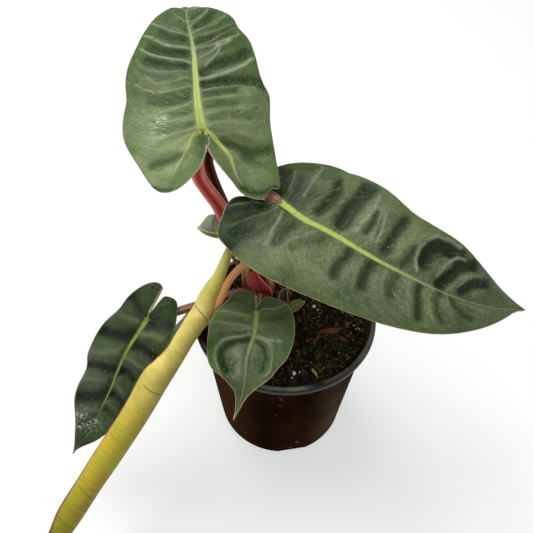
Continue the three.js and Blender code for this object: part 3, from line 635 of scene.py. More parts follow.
def makeBlade(name, leaf, materials, node):
    midrib = buildMidrib(leaf)
    foldLines = placedFolds(leaf)
    pairs = bladeStations(leaf)
    columns = leaf["columns"]
    ribEnd = leaf["left"][-1][0]
    fullRidge, fullHollow = 1.3, 1.8  # traced heights at which a ridge takes the full painted highlight and a hollow the full painted shade
    perMargin, perFold, perRib = 24, 16, 20  # points between two given ones
    broadFold = 6  # a ridge of this width is a swell and has no pale line
    piece, spots = addGrid(name, columns * 2, len(pairs) - 1)
    # vein and margin lines in the leaf's own plane, for the colour masks
    veinPoints, margin = [], []
    for rows, strengths in ((leaf["left"], leaf["veinsLeft"]), (leaf["right"], leaf["veinsRight"])):
        for k, strength in enumerate(strengths):
            if strength <= 0:
                continue
            reach = max(abs(rows[k][1]), abs(rows[k][0] - rows[k][2]))
            for i in range(int(reach * 4) + 2):
                b = i / (int(reach * 4) + 1)
                u, w = bladePoint(leaf, midrib, rows, k, b)[1:3]
                veinPoints.append((u, w, strength * leaf["veinWidth"] * (1 - 0.6 * b)))
        for i in range((len(rows) - 1) * perMargin + 1):
            margin.append(bladePoint(leaf, midrib, rows, i / perMargin, 1.0)[1:3])
    for size, width, *line in foldLines:  # pale lines run along the traced ridges
        if size <= 0 or width >= broadFold or leaf["foldVein"] <= 0:
            continue
        for k in range((len(line) - 1) * perFold + 1):
            u, w = splineAt(line, k / perFold)
            thin = 1 - 0.5 * k / (len(line) * perFold)
            veinPoints.append((u, w, leaf["foldVein"] * leaf["veinWidth"] * thin))
    branches = []  # strong side ribs: half width at both ends, then their points
    for first, last, *line in leaf.get("sideRibs", []):
        for k in range((len(line) - 1) * perRib + 1):
            u, w = splineAt(line, k / perRib)
            branches.append((u, w, mix(first, last, k / ((len(line) - 1) * perRib))))
    slits = [splineAt(line, k / perRib)[:2] for line in leaf.get("slits", [])
             for k in range((len(line) - 1) * perRib + 1)]
    veinTree, marginTree, branchTree, slitTree = (lineTree(points)
                                                  for points in (veinPoints, margin, branches, slits))
    folds = foldBoxes(foldLines)
    taperEnd = leaf.get("ribTaper", ribEnd * 1.15)
    fadeFrom, fadeTo = leaf.get("ribFade", (ribEnd * 0.8, ribEnd))
    values = {key: [] for key in ("ribRatio", "veinRatio", "edgeDistance", "along", "crest", "hollow",
                                  "fresh", "sheenSpot", "scab")}
    uvs = []
    for vertex, (column, row) in zip(piece.data.vertices, spots):
        j = column - columns
        a = pairs[row][1] if j >= 0 else pairs[row][0]
        rows = leaf["right"] if j >= 0 else leaf["left"]
        across, ribAt = splineAt(rows, a)[1:3]
        taper = 1 - min(max(ribAt, 0) / taperEnd, 1)
        ribHalf = max(0.3, leaf["ribWidth"] * taper
                      * (1 + leaf.get("flare", 0.3) * math.exp(-max(ribAt, 0) / 7)))
        inner = min(0.25, ribHalf / max(abs(across), 0.01))
        step = abs(j)
        b = inner * step / 4 if step <= 4 else mix(inner, 1, (step - 4) / (columns - 4))
        point, u, w, relief = bladePoint(leaf, midrib, rows, a, b, folds)
        gap = abs(w) if u >= 0 else math.hypot(2.4 * u, w)
        if gap < ribHalf:
            raised = leaf["ribRaise"] * (1 - (gap / ribHalf) ** 2) * taper * smooth(u, 0, 8)
            point = point + midribFrame(midrib, max(u, 0))[3] * raised
        vertex.co = point * millimetre
        index, distance = veinTree.find((u, w, 0))[1:]
        values["veinRatio"].append(distance / veinPoints[index][2])
        ratio = gap / ribHalf
        fresh = 1 - smooth(u, fadeFrom, fadeTo)
        if branches:
            index, distance = branchTree.find((u, w, 0))[1:]
            if distance / branches[index][2] < ratio:
                ratio = distance / branches[index][2]
                fresh = smooth(branches[index][2], 0.1, 1.1)
        values["ribRatio"].append(ratio)
        # ridges carry the painted highlight, hollows the painted shade
        values["crest"].append(min(1.0, relief[1] / fullRidge))
        values["hollow"].append(min(1.0, relief[2] / fullHollow))
        values["fresh"].append(fresh)
        values["sheenSpot"].append(patchAt(leaf.get("sheenSpots", []), u, w))
        distance = marginTree.find((u, w, 0))[2]
        if slits:
            distance = min(distance, slitTree.find((u, w, 0))[2] + 0.1)
        values["edgeDistance"].append(distance)
        values["scab"].append(patchAt(leaf.get("scabs", []), u, w))
        values["along"].append(u / ribEnd)
        uvs.append((a, b if j >= 0 else -b))
    writeValues(piece, values, uvs)
    pickOnly(piece)
    bpy.ops.object.mode_set(mode='EDIT')
    bpy.ops.mesh.select_all(action='SELECT')
    bpy.ops.mesh.remove_doubles(threshold=0.00002)
    bpy.ops.mesh.dissolve_degenerate(threshold=0.00001)
    bpy.ops.object.mode_set(mode='OBJECT')
    normalUp = sum((p.normal.dot(midribFrame(midrib, ribEnd * 0.4)[3]) for p in piece.data.polygons), 0.0)
    if normalUp < 0:
        piece.data.flip_normals()
    count = len(piece.data.vertices)
    for material in materials:
        piece.data.materials.append(material)
    wall = piece.modifiers.new("wall", 'SOLIDIFY')
    wall.thickness = leaf["thickness"] * millimetre
    wall.offset = -1
    wall.material_offset = 1
    bpy.ops.object.modifier_apply(modifier=wall.name)
    # the underside carries the keel of the midrib
    ratio = piece.data.attributes["ribRatio"].data
    place = piece.data.attributes["along"].data
    normals = [v.normal.copy() for v in piece.data.vertices]
    for vertex in piece.data.vertices:
        i = vertex.index
        if i >= count and ratio[i].value < 1.0 and place[i].value > 0:
            drop = leaf["keel"] * (1 - ratio[i].value ** 2) * max(0.0, 1 - place[i].value)
            drop *= smooth(place[i].value * ribEnd, 1, 9)
            vertex.co += normals[i] * (drop * millimetre)
    piece.data.update()
    finishPiece(piece, [node])
    print(name, len(piece.data.polygons), "faces")
    return piece


upperLeaf = {
    "axis": [(-47.3, 12.4, 219), (-54, 40, 242), (-57, 52, 251), (-60, 74, 257.5), (-62.5, 94, 263),
             (-66, 111.5, 268), (-70, 127.5, 271.8), (-72, 146.5, 272), (-70, 162, 264), (-67, 176, 252),
             (-64, 186, 238)],
    "rolls": [0, 0, 0, 0, 0, 0, 0, 0, 0, 0, 0], "fold": [0, 0],
    "droop": 0.004, "arch": 1.5, "wave": 1.2, "sweep": 1.35, "keel": 1.6, "thickness": 0.85,
    "columns": 46, "rowsPerVein": 13, "fanRows": 70, "seed": 3, "crinkle": 0.5,
    "ribWidth": 2.45, "ribRaise": 0.4, "veinWidth": 0.62,
    # one row a vein: margin along, margin across, where it leaves the midrib, pillow height
    "left": [(-9, 1, 0, 0), (-17, -1.5, 0, 0.6), (-25, -8, 0, 1.2), (-33, -21, 0, 1.8), (-31, -33, 0, 2.4),
             (-14, -41.5, 0, 2.8), (2, -47, 3, 3), (18, -46.5, 10, 3), (32, -44.5, 20, 3.2),
             (46, -45, 31, 3.4), (60, -43, 42, 3.4), (74, -38.5, 54, 3.4), (88, -31.5, 66, 3.2),
             (99, -23, 79, 0.8), (111, -13.2, 92, 0.7), (129, -9.5, 107, 0.5), (146, -5.5, 124, 0.3),
             (160, -2.5, 143, 0.1), (168, 0, 168, 0)],
    "right": [(-9, 1, 0, 0), (-18, 4.5, 0, 0.6), (-31, 12, 0, 1.2), (-42, 19, 0, 1.8), (-46, 30, 0, 2.2),
              (-40, 37, 0, 2), (-38.5, 43.5, 0, 2.6), (-22, 43.9, 0, 2.8), (0, 43.9, 3, 3), (18, 45.6, 10, 3),
              (32, 46, 20, 3.2), (47, 42, 31, 3.4), (62, 40.5, 42, 3.4), (76, 39, 54, 3.4),
              (90, 34.5, 66, 3.2), (105, 32, 79, 0.8), (120, 24.5, 92, 0.7), (134.5, 17.5, 107, 0.5),
              (149, 9, 124, 0.3), (160, 3.5, 143, 0.1), (168, 0, 168, 0)],
    "veinsLeft": [0, 0, 0, 0, 0, 0, 0, 0, 0, 0, 0, 0, 0.6, 0.8, 0.8, 0.9, 0.8, 0.5, 0],
    "veinsRight": [0, 0, 0, 0, 0, 0, 0, 0, 0, 0, 0, 0, 0, 0, 0.8, 0.8, 0.8, 0.9, 0.8, 0.5, 0],
    "ribTaper": 126, "ribFade": (48, 92), "foldVein": 0.65, "foldDepth": 1.3, "tracedTo": 118,
    "sideRibs": [(1.2, 0.75, (0, -1.5), (-3.5, -6.5), (-8.5, -9.2), (-11.5, -11.3)),
                 (0.75, 0.25, (-11.5, -11.3), (-18, -17), (-24, -21.5), (-30, -26)),
                 (0.5, 0.2, (-11.5, -11.3), (-14.5, -9.5), (-17, -8)),
                 (1.6, 0.9, (1.5, 1), (-5, 6), (-12.5, 11), (-19, 14.5)),
                 (0.9, 0.3, (-19, 14.5), (-24, 15), (-31, 16.5), (-37, 20))],
    # painted sheen: soft spots of pale reflected light, place along, place across, radius
    "sheenSpots": [(6, -27, 5), (2, -26, 4), (9, -22, 3), (115, 5, 3)],
    "slits": [[(-1, 0.6), (-3.5, 2.6), (-6.5, 3.2), (-9.5, 2.2)]],
    "scabs": [(-1, 0.2, 0.9), (-3.6, 3.2, 0.7)],
    # ridges (+) and hollows (-): height, width, then the line they follow in the photograph, in its pixels
    "folds": [
        (-1.2, 1.7, (152, 187), (157, 189), (163, 190), (170, 189.5)),
        (-1.3, 2.5, (242, 188), (250, 193), (260, 194), (270, 191), (277, 188)),
        (-0.8, 3.7, (258, 62), (262, 72), (266, 84), (270, 100)),
        (-0.6, 3.2, (133, 82), (135, 92), (134, 102)),
        (0.88, 3.3, (151.5, 25), (160.5, 29), (170, 33.5), (180, 36), (187, 36.5)),
        (-1.3, 3.4, (160, 35), (170, 39.5), (180, 43), (186, 42)),
        (0.96, 3.3, (145, 36.5), (155.5, 42), (165, 48), (175, 50), (189, 50)),
        (-1.6, 3.6, (150, 48.5), (160, 53), (172, 55), (186, 55)),
        (0.96, 3.3, (141, 49.5), (150, 57), (160, 60), (170, 61.5), (190, 63)),
        (-1.5, 3.8, (146, 62), (157, 66), (170, 67.5), (186, 67)),
        (0.56, 2.8, (137, 62), (143, 70), (152, 74), (165, 74), (190, 72)),
        (-0.8, 2.7, (143, 73), (152, 79), (162, 81), (176, 79)),
        (0.64, 2.9, (147, 80), (156, 87), (166, 86), (180, 82), (191, 79)),
        (0.72, 3.3, (136, 86), (145, 93), (155, 95.5), (168, 94.5), (180, 91), (192, 87)),
        (-1.2, 3.8, (150, 102), (165, 104), (178, 102), (188, 98)),
        (0.64, 3.7, (150, 119), (160, 114), (175, 110), (186, 106), (193, 101)),
        (-0.7, 3.2, (172, 118), (181, 116), (190, 112)),
        (0.4, 2.9, (165, 126), (178, 122), (192, 119)),
        (-0.8, 3.4, (162, 136), (172, 132), (184, 130), (193, 125)),
        (0.64, 3.3, (152, 146), (165, 139), (180, 133), (195, 129)),
        (0.72, 3.7, (146, 156), (158, 153), (172, 151), (186, 151)),
        (-1.04, 4, (152, 167), (162, 164), (172, 160), (180, 157)),
        (0.8, 2.9, (197, 132), (192, 138), (190, 147), (186, 154), (179, 164), (174, 174)),
        (-0.8, 4.2, (203, 139), (202, 147), (201, 156)),
        (0.72, 2.6, (187.5, 28.5), (193, 24.5), (200.5, 20), (206, 14.5), (208, 8.5)),
        (-1, 2.7, (191.5, 19.5), (196.5, 17.5), (201, 12.5)),
        (-1.2, 3.2, (195.5, 27.5), (204.5, 24), (211, 18), (214, 11)),
        (0.64, 2.9, (191.5, 31.5), (205, 29.5), (216.5, 25), (224, 17.5), (225.5, 12.5)),
        (0.72, 2.9, (192, 37.5), (205, 37), (218.5, 33), (230, 25)),
        (-1, 2.9, (196, 43), (208, 42), (220, 39), (230, 33)),
        (0.8, 3.1, (193, 49), (203, 49), (215, 46.5), (226, 43), (240, 36)),
        (-0.8, 2.5, (199, 53), (207, 52), (213, 50)),
        (0.72, 2.6, (196, 60), (204, 58), (212, 54), (219, 49)),
        (0.8, 2.9, (205, 67), (212, 62), (218, 57), (221, 50), (232, 44)),
        (-1.7, 4.4, (203, 72), (215, 67), (228, 63), (240, 58), (247, 52)),
        (1.04, 3.5, (197, 80), (210, 79), (222, 77), (235, 73), (246, 67), (253, 60)),
        (-1.9, 4.8, (206, 84), (220, 84), (238, 82), (252, 80), (262, 83)),
        (0.72, 2.9, (203, 91), (215, 89), (230, 88), (243, 86)),
        (-1, 3.2, (206, 96), (220, 94.5), (235, 93)),
        (0.64, 3.3, (203, 101), (215, 99), (232, 98), (250, 97)),
        (-0.8, 2.9, (208, 107), (220, 106), (236, 105)),
        (0.56, 3.1, (206, 115), (216, 112), (230, 109), (250, 110)),
        (-0.7, 2.5, (212, 120), (230, 117), (250, 117)),
        (0.64, 3.1, (205, 126), (215, 124), (232, 124), (255, 126)),
        (-1.2, 4.8, (222, 143), (238, 148), (252, 152), (268, 150)),
        (0.56, 4, (216, 135), (235, 134), (255, 138), (268, 142)),
        (0.8, 3.3, (205, 131), (213, 138), (223, 149), (231, 159), (233, 167), (237, 178)),
        (-0.72, 4.2, (245, 160), (256, 165), (270, 168)),
    ],
    "stalk": [(-10.9, 29.7, 105), (-10.9, 29.7, 117), (-18, 30, 134), (-31, 30.5, 155), (-41.7, 32, 177),
              (-46.5, 33.5, 189.6), (-54, 36, 201.4), (-58.4, 38, 209.5), (-58.5, 40, 224.5)],
    "stalkRadius": 4.2, "stalkEnd": 3.2, "stalkFace": (0.2, -1, 0.25),
}
rightLeaf = {
    "axis": [(-25, 29, 208), (-6, 20, 204), (8, 5, 203), (23, -3, 201), (38, -13, 198), (54, -22, 194),
             (73, -29, 188), (92, -33, 180), (120, -33, 168), (154, -23, 152)],
    "rolls": [-8, -8, -8, -12, -16, -20, -24, -26, -28, -28], "fold": [0, 0],
    "droop": 0, "arch": 2.5, "wave": 0.8, "sweep": 1.3, "keel": 1.6, "thickness": 0.85,
    "columns": 46, "rowsPerVein": 13, "fanRows": 60, "seed": 11, "crinkle": 0.5,
    "ribWidth": 2.05, "ribRaise": 0.4, "veinWidth": 0.5,
    # one row a vein: margin along, margin across, where it leaves the midrib, pillow height
    "left": [(-2, 0, 0, 0), (-2.4, -3.4, 0, 0.2), (-9, -4.8, 0, 0.4), (-17, -7.5, 0, 0.8), (-20, -16, 0, 1.2),
             (-14, -25, 0, 1.8), (-5, -37, 0, 2.8), (8, -48, 5, 4), (24, -49.5, 14, 4.5), (42, -48, 26, 4.5),
             (58, -45, 41, 5), (79, -40, 58, 5), (97, -38, 76, 5), (119, -36, 95, 4.5), (138, -30, 112, 4),
             (156, -22, 128, 3), (170, -11.5, 146, 1.5), (180, -3.5, 165, 0.6), (186, 0, 186, 0)],
    "right": [(-2, 0, 0, 0), (-2.4, 3.4, 0, 0.2), (-10, 4.8, 0, 0.4), (-21, 7.5, 0, 0.8), (-27, 15, 0, 1.2),
              (-26, 28, 0, 1.6), (-19.5, 44.5, 0, 2.2), (2, 48, 5, 3), (22, 48, 14, 4), (40, 45.5, 26, 4),
              (57, 41, 41, 4.5), (74, 37, 58, 4.5), (94, 33, 76, 4.5), (112, 28, 95, 4),
              (127, 22.5, 112, 3.5),
              (143, 15.5, 128, 2.5), (160, 8, 146, 1.5), (175, 1.8, 165, 0.6), (186, 0, 186, 0)],
    "veinsLeft": [0, 0.5, 0.6, 0.5, 0.4, 0.3, 0.3, 0.3, 0.3, 0.3, 0.3, 0.3, 0.3, 0.3, 0.3, 0.3, 0.3, 0, 0],
    "veinsRight": [0, 0.5, 0.6, 0.6, 0.5, 0.3, 0.3, 0.3, 0.3, 0.3, 0.3, 0.3, 0.3, 0.3, 0.3, 0.3, 0.3, 0, 0],
    "ribTaper": 160, "ribFade": (50, 128), "foldVein": 0.4, "foldDepth": 1.45,
    "slits": [], "scabs": [(-0.8, -1.2, 1.2)],
    # ridges (+) and hollows (-), as on the upper leaf
    "folds": [
        (0.36, 2.2, (228, 207), (240, 205.5), (255, 205), (272, 205.5)),
        (-0.75, 2.9, (232, 202.5), (243, 199.5), (255, 200), (264, 202)),
        (0.48, 3.5, (230, 208), (245, 206), (262, 205), (276, 207)),
        (-0.75, 3.8, (232, 216), (247, 214), (262, 211)),
        (0.6, 3.8, (230, 229), (240, 225), (252, 222), (262, 218), (272, 213), (278, 209)),
        (-0.9, 4, (236, 236), (249.5, 233), (262, 228), (272, 221)),
        (0.84, 4.1, (262, 246), (266, 238), (271, 229), (277, 221), (282, 214)),
        (-1.12, 4.7, (272, 244), (281, 235), (291, 226), (298, 221)),
        (0.66, 4.6, (282, 252), (292, 245), (303, 240), (314, 235), (322, 231)),
        (-0.68, 3.8, (296, 253), (308, 247), (320, 243)),
        (0.6, 3.8, (330, 287), (325, 280), (325, 272), (331, 264), (339, 256), (345, 247)),
        (-1.27, 4.9, (333, 276), (339, 266), (345, 258), (350, 252)),
        (0.66, 4.6, (350, 290), (353, 280), (357, 270), (362, 260)),
        (-1.35, 4.7, (361, 287), (364, 277), (369, 268), (374, 262)),
        (0.72, 4.3, (381, 300), (379, 290), (381, 279), (386, 270)),
        (-1.05, 4.3, (388, 296), (391, 286), (396, 277)),
        (0.72, 4.3, (406, 316), (405, 303), (406, 291), (409, 281)),
        (-1.35, 3.6, (417, 318), (416, 306), (417, 294), (420, 286)),
        (0.72, 3.8, (431, 322), (427, 312), (426, 300), (429, 292)),
        (-0.98, 3.1, (441, 322), (437, 312), (436, 302), (440, 295)),
        (0.66, 3.8, (452, 324), (447, 313), (445, 302), (447, 296)),
        (-1.05, 2.7, (471, 320), (461, 315), (454, 307), (450, 299)),
        (0.6, 4.9, (486, 314), (474, 309), (462, 302)),
        (-1.3, 4, (284, 172), (286, 182), (285, 192)),
        (0.6, 3.5, (294, 172), (291, 182), (289, 192)),
        (-0.8, 3.4, (306, 182), (302, 192), (298, 200)),
        (0.72, 4.3, (328, 172), (321, 182), (314, 191), (306, 200)),
        (-1.6, 5.2, (338.5, 183), (332, 193), (325, 203), (318, 211)),
        (0.48, 4.3, (352, 182), (347, 192), (340, 204), (333, 214)),
        (-1.9, 5.6, (372, 190), (362, 200), (352, 212), (343, 224)),
        (0.9, 4.3, (380, 200), (374, 212), (366, 222), (355, 234)),
        (-1.3, 2.9, (376, 216), (372, 226), (366, 234)),
        (0.72, 3, (380, 218), (377, 228), (372, 240)),
        (-0.9, 2.2, (381, 223), (379, 230), (375, 240)),
        (0.78, 3, (386, 217), (383, 227), (380, 236), (375, 245)),
        (-1.6, 4.9, (405, 221), (398, 230), (391, 240), (386, 250)),
        (0.66, 3.8, (416, 231), (408, 242), (400, 252), (393, 262)),
        (-1, 3.1, (411, 252), (407, 260), (402, 266)),
        (1.08, 4.1, (461, 248), (450, 241), (437, 237), (426, 241), (418, 249), (414, 260), (415, 270)),
        (-2.8, 6, (455, 252), (442, 247), (430, 250), (424, 260)),
        (-1.2, 4, (462, 256), (450, 255)),
        (1.02, 3.5, (466, 261), (458, 258), (449, 261), (441, 268), (434, 277)),
        (-2.4, 4, (474, 267), (465, 266), (456, 270), (447, 278), (439, 285)),
        (0.84, 3.5, (479, 277), (470, 277), (463, 281), (456, 288)),
        (-1.9, 3.8, (486, 286), (476, 284), (468, 287), (460, 291)),
        (0.54, 4.1, (494, 287), (484, 291), (472, 296)),
    ],
    "stalk": [(-20.6, 33.2, 105), (-20.6, 33.2, 117), (-26, 37, 134), (-34, 40.5, 151), (-40, 43.5, 169),
              (-44.2, 46.5, 179.4), (-48.6, 50, 189.4), (-52.2, 54, 198.2), (-54.4, 57.5, 207),
              (-52.8, 59, 216), (-45.9, 57.5, 222.4), (-36.5, 51, 222.5), (-27.5, 41, 218.5),
              (-19.5, 30.5, 211.5)],
    "stalkRadius": 3.5, "stalkEnd": 2.4, "stalkFace": (0.3, -1, 0.1), "inLine": 9,
}
hangingLeaf = {
    "axis": [(-85, -4, 143), (-93, -21, 135), (-100, -30, 128), (-107, -37, 119), (-113, -43, 108),
             (-120, -51, 93), (-128, -58, 79), (-136, -67, 66), (-149, -78, 53)],
    "rolls": [0, 0, 0, 0, 0, 0, 0, 0, 0], "fold": [0, 0],
    "droop": 0, "arch": 1.5, "wave": 0.6, "sweep": 1.25, "keel": 1.2, "thickness": 0.85,
    "columns": 36, "rowsPerVein": 12, "fanRows": 40, "seed": 23, "crinkle": 0.45,
    "ribWidth": 1.35, "ribRaise": 0.3, "veinWidth": 0.35,
    # one row a vein: margin along, margin across, where it leaves the midrib, pillow height
    "left": [(-4, 0, 0, 0), (-16, -2.5, 0, 0.5), (-19, -6, 0, 1), (-18, -13, 0, 2), (-9, -18, 0, 3),
             (4, -23, 2, 3.5), (20, -24.5, 12, 4.5), (36, -24.5, 25, 4), (54, -24, 39, 4.5), (70, -22, 54, 4),
             (84, -15, 70, 3), (97, -8.5, 85, 1.5), (108, -2.5, 99, 0.6), (116, 0, 116, 0)],
    "right": [(-4, 0, 0, 0), (-18, 1.5, 0, 0.5), (-24, 1.5, 0, 1), (-25.5, 7, 0, 2), (-21, 13.5, 0, 2.5),
              (-10, 20.5, 0, 3), (6, 24, 2, 3.5), (27, 31, 12, 4.5), (44, 30.5, 25, 4.5), (62, 29.5, 39, 4.5),
              (77, 29, 54, 4), (91, 24, 70, 3), (104, 11, 85, 1.5), (110, 4.5, 99, 0.6), (116, 0, 116, 0)],
    "veinsLeft": [0, 0, 0, 0.3, 0.4, 0.5, 0.5, 0.5, 0.5, 0.5, 0.4, 0.3, 0, 0],
    "veinsRight": [0, 0, 0, 0.3, 0.4, 0.5, 0.5, 0.5, 0.5, 0.5, 0.4, 0.3, 0.2, 0, 0],
    "ribTaper": 112, "ribFade": (70, 84), "foldVein": 0, "foldDepth": 1.6,
    # painted sheen: soft spots of pale reflected light, place along, place across, radius
    "sheenSpots": [(99, 8, 4), (91, 12, 6), (86, -4, 4), (92, 2, 5)],
    # ridges (+) and hollows (-), as on the upper leaf
    "folds": [
        (-1.12, 4.3, (131, 296), (136, 306), (141, 316)),
        (0.9, 6.8, (118, 312), (128, 318), (138, 321)),
        (-1.6, 5, (102, 331), (114, 334), (126, 337), (136, 333)),
        (1.08, 6.8, (94, 350), (106, 352), (120, 352)),
        (-1.52, 4.1, (88, 364), (99, 365), (110, 369), (118, 370)),
        (1.08, 6.2, (82, 378), (94, 378), (108, 380)),
        (-1.76, 4.6, (78, 398), (90, 397), (101, 396), (108, 392)),
        (0.9, 6.2, (79, 415), (88, 412), (99, 409)),
        (-0.64, 3.4, (84, 428), (92, 424), (99, 420)),
        (0.72, 4.6, (152, 312), (160, 306), (170, 304)),
        (-1.2, 4.1, (147, 326), (157, 325), (170, 327)),
        (1.08, 6.2, (140, 334), (151, 336), (165, 342)),
        (-1.52, 4.1, (133, 346), (143, 349), (151, 357), (160, 362)),
        (1.08, 5.4, (128, 357), (137, 362), (147, 370)),
        (-1.28, 3.6, (121, 370), (129, 373), (135, 382)),
        (0.9, 4.9, (116, 379), (122, 386), (128, 393)),
        (-1.2, 3.4, (110, 392), (117, 396), (123, 403)),
        (0.81, 4.3, (105, 401), (111, 403), (118, 409)),
        (-0.96, 3.1, (101, 408), (108, 411), (114, 417)),
    ],
    "stalk": [(-25.5, 17.5, 105), (-25.5, 17.5, 116), (-28, 14.5, 122.5), (-35, 7.5, 128.5), (-49.2, -3, 134),
              (-58.8, -9.2, 136.3), (-68, -12.9, 136.2), (-78, -14.5, 133)],
    "stalkRadius": 3.5, "stalkEnd": 2.7, "stalkFace": (0.5, -0.3, 1),
}
heartLeaf = {
    "axis": [(-20, -4, 138), (-20, -18, 140), (-21, -35, 138.5), (-24, -44, 136), (-26, -53, 133),
             (-26, -59, 129), (-28, -69, 120), (-33, -79, 107)],
    "rolls": [0, 0, 0, 0, 0, 0, 0, 0], "fold": [0, 0],
    "droop": 0, "arch": 2, "wave": 0.4, "sweep": 1.3, "keel": 0.8, "thickness": 0.85,
    "columns": 36, "rowsPerVein": 12, "fanRows": 40, "seed": 31, "crinkle": 0.3,
    "ribWidth": 1.3, "ribRaise": 0.2, "veinWidth": 0.42,
    # one row a vein: margin along, margin across, where it leaves the midrib, pillow height
    "left": [(-4, 0, 0, 0), (-9, -2, 0, 0.3), (-14, -5, 0, 0.8), (-15, -11, 0, 1.2), (-9, -20, 0, 1.5),
             (4, -25, 1, 1.8), (19, -26, 5, 2.2), (32, -24, 17, 3), (43, -18, 27, 3), (51, -9, 37, 1.5),
             (58, -3.5, 49, 0.6), (66, -1.5, 60, 0.2), (75, 0, 75, 0)],
    "right": [(-4, 0, 0, 0), (-11, 0.8, 0, 0.3), (-20, 1.5, 0, 0.8), (-22, 7, 0, 1.2), (-20, 15, 0, 1.5),
              (-10, 21, 0, 1.5), (4, 29, 1, 1.8), (20, 30.5, 5, 2.2), (33, 26.5, 17, 3), (42, 21.5, 27, 3),
              (50, 12.5, 37, 1.5), (58, 5, 49, 0.6), (66, 2, 60, 0.2), (75, 0, 75, 0)],
    "veinsLeft": [0, 0, 0, 0, 0, 0.3, 0.3, 0.3, 0.2, 0.2, 0, 0, 0],
    "veinsRight": [0, 0, 0, 0, 0, 0.3, 0.3, 0.3, 0.2, 0.2, 0, 0, 0, 0],
    "ribTaper": 80, "ribFade": (8, 46), "foldVein": 0.5, "foldDepth": 1.2,
    # ridges (+) and hollows (-), as on the upper leaf
    "folds": [
        (0.85, 13.2, (238, 350), (240, 362), (238, 374)),
        (1.05, 2.4, (214, 311), (226, 312.5), (238, 316), (250, 318)),
        (-0.77, 2.7, (218, 318), (230, 319.5), (242, 322), (250, 323)),
        (1.05, 2.6, (218, 324), (232, 326.5), (244, 328), (252, 329)),
        (-0.85, 2.8, (222, 304), (234, 300), (246, 303)),
        (-0.85, 2.8, (222, 333), (235, 333), (246, 334)),
        (1.01, 1.8, (222, 376), (216, 367), (214.5, 356), (217, 347), (225, 340), (238, 337), (251, 335)),
        (-1.53, 2.7, (226, 371), (221, 362), (221, 352), (227, 346), (238, 342), (249, 340)),
        (1.17, 2.4, (257, 313), (264, 311), (274, 312), (281, 309), (288, 304)),
        (-0.94, 3.6, (262, 320), (270, 320), (280, 318)),
        (-0.59, 2.8, (276, 329), (268, 330)),
        (1.29, 2.2, (255, 336), (262, 340), (272, 343.5), (282, 343)),
        (1.14, 1.6, (255, 336), (265, 342), (271, 350), (273, 360), (270, 370), (265, 377)),
        (-1.1, 2.5, (258, 343), (264, 350), (266, 360), (262, 370)),
    ],
    "stalk": [(-17.6, 12.4, 105), (-17.6, 12.4, 115.5), (-17.8, 10.4, 123), (-18.4, 4, 130.5),
              (-19.2, -5, 134.5)],
    "stalkRadius": 2.2, "stalkEnd": 1.7, "stalkFace": (0, 0.3, 1),
}
foldedLeaf = {
    "axis": [(-38.7, 35.4, 153), (-43, 36.3, 154.5), (-47.9, 35.7, 157), (-54.1, 35.5, 159),
             (-59.1, 37.4, 160.5), (-63.8, 42, 161.5)],
    "rolls": [0, 0, 0, 0, 0, 0], "fold": [66, 32],
    "droop": 0, "arch": 0.5, "wave": 0.3, "sweep": 1.2, "keel": 0.5, "thickness": 0.85,
    "columns": 18, "rowsPerVein": 8, "fanRows": 24, "seed": 41, "crinkle": 0.3,
    "ribWidth": 0.8, "ribRaise": 0.1, "veinWidth": 0.25,
    # one row a vein: margin along, margin across, where it leaves the midrib, pillow height
    "left": [(-1.5, 0, 0, 0), (-3, -1, 0, 0.1), (-4, -3, 0, 0.3), (-3, -5.5, 0, 0.4), (1, -7, 1, 0.5),
             (7, -7, 4, 0.5), (15, -6.6, 9, 0.4), (20.8, -5.2, 15, 0.2), (23, 0, 23, 0)],
    "right": [(-1.5, 0, 0, 0), (-2, 1, 0, 0.1), (-2, 4, 0, 0.3), (0.5, 9, 0, 0.5), (4, 14, 1, 0.6),
              (9, 16.5, 4, 0.7), (16, 17, 9, 0.6), (23.6, 12, 15, 0.3), (23, 0, 23, 0)],
    "veinsLeft": [0, 0, 0, 0.5, 0.8, 1, 1, 0.8, 0],
    "veinsRight": [0, 0, 0, 0.5, 0.8, 1, 1, 0.8, 0],
    "stalk": [(-24.2, 29.2, 105), (-24.2, 29.2, 116), (-28.8, 30.6, 124.5), (-34.7, 31.2, 133.8),
              (-38.4, 32, 141.5), (-41, 33.2, 148)],
    "stalkRadius": 1.8, "stalkEnd": 1.3, "stalkFace": (0.3, -0.5, 1),
}
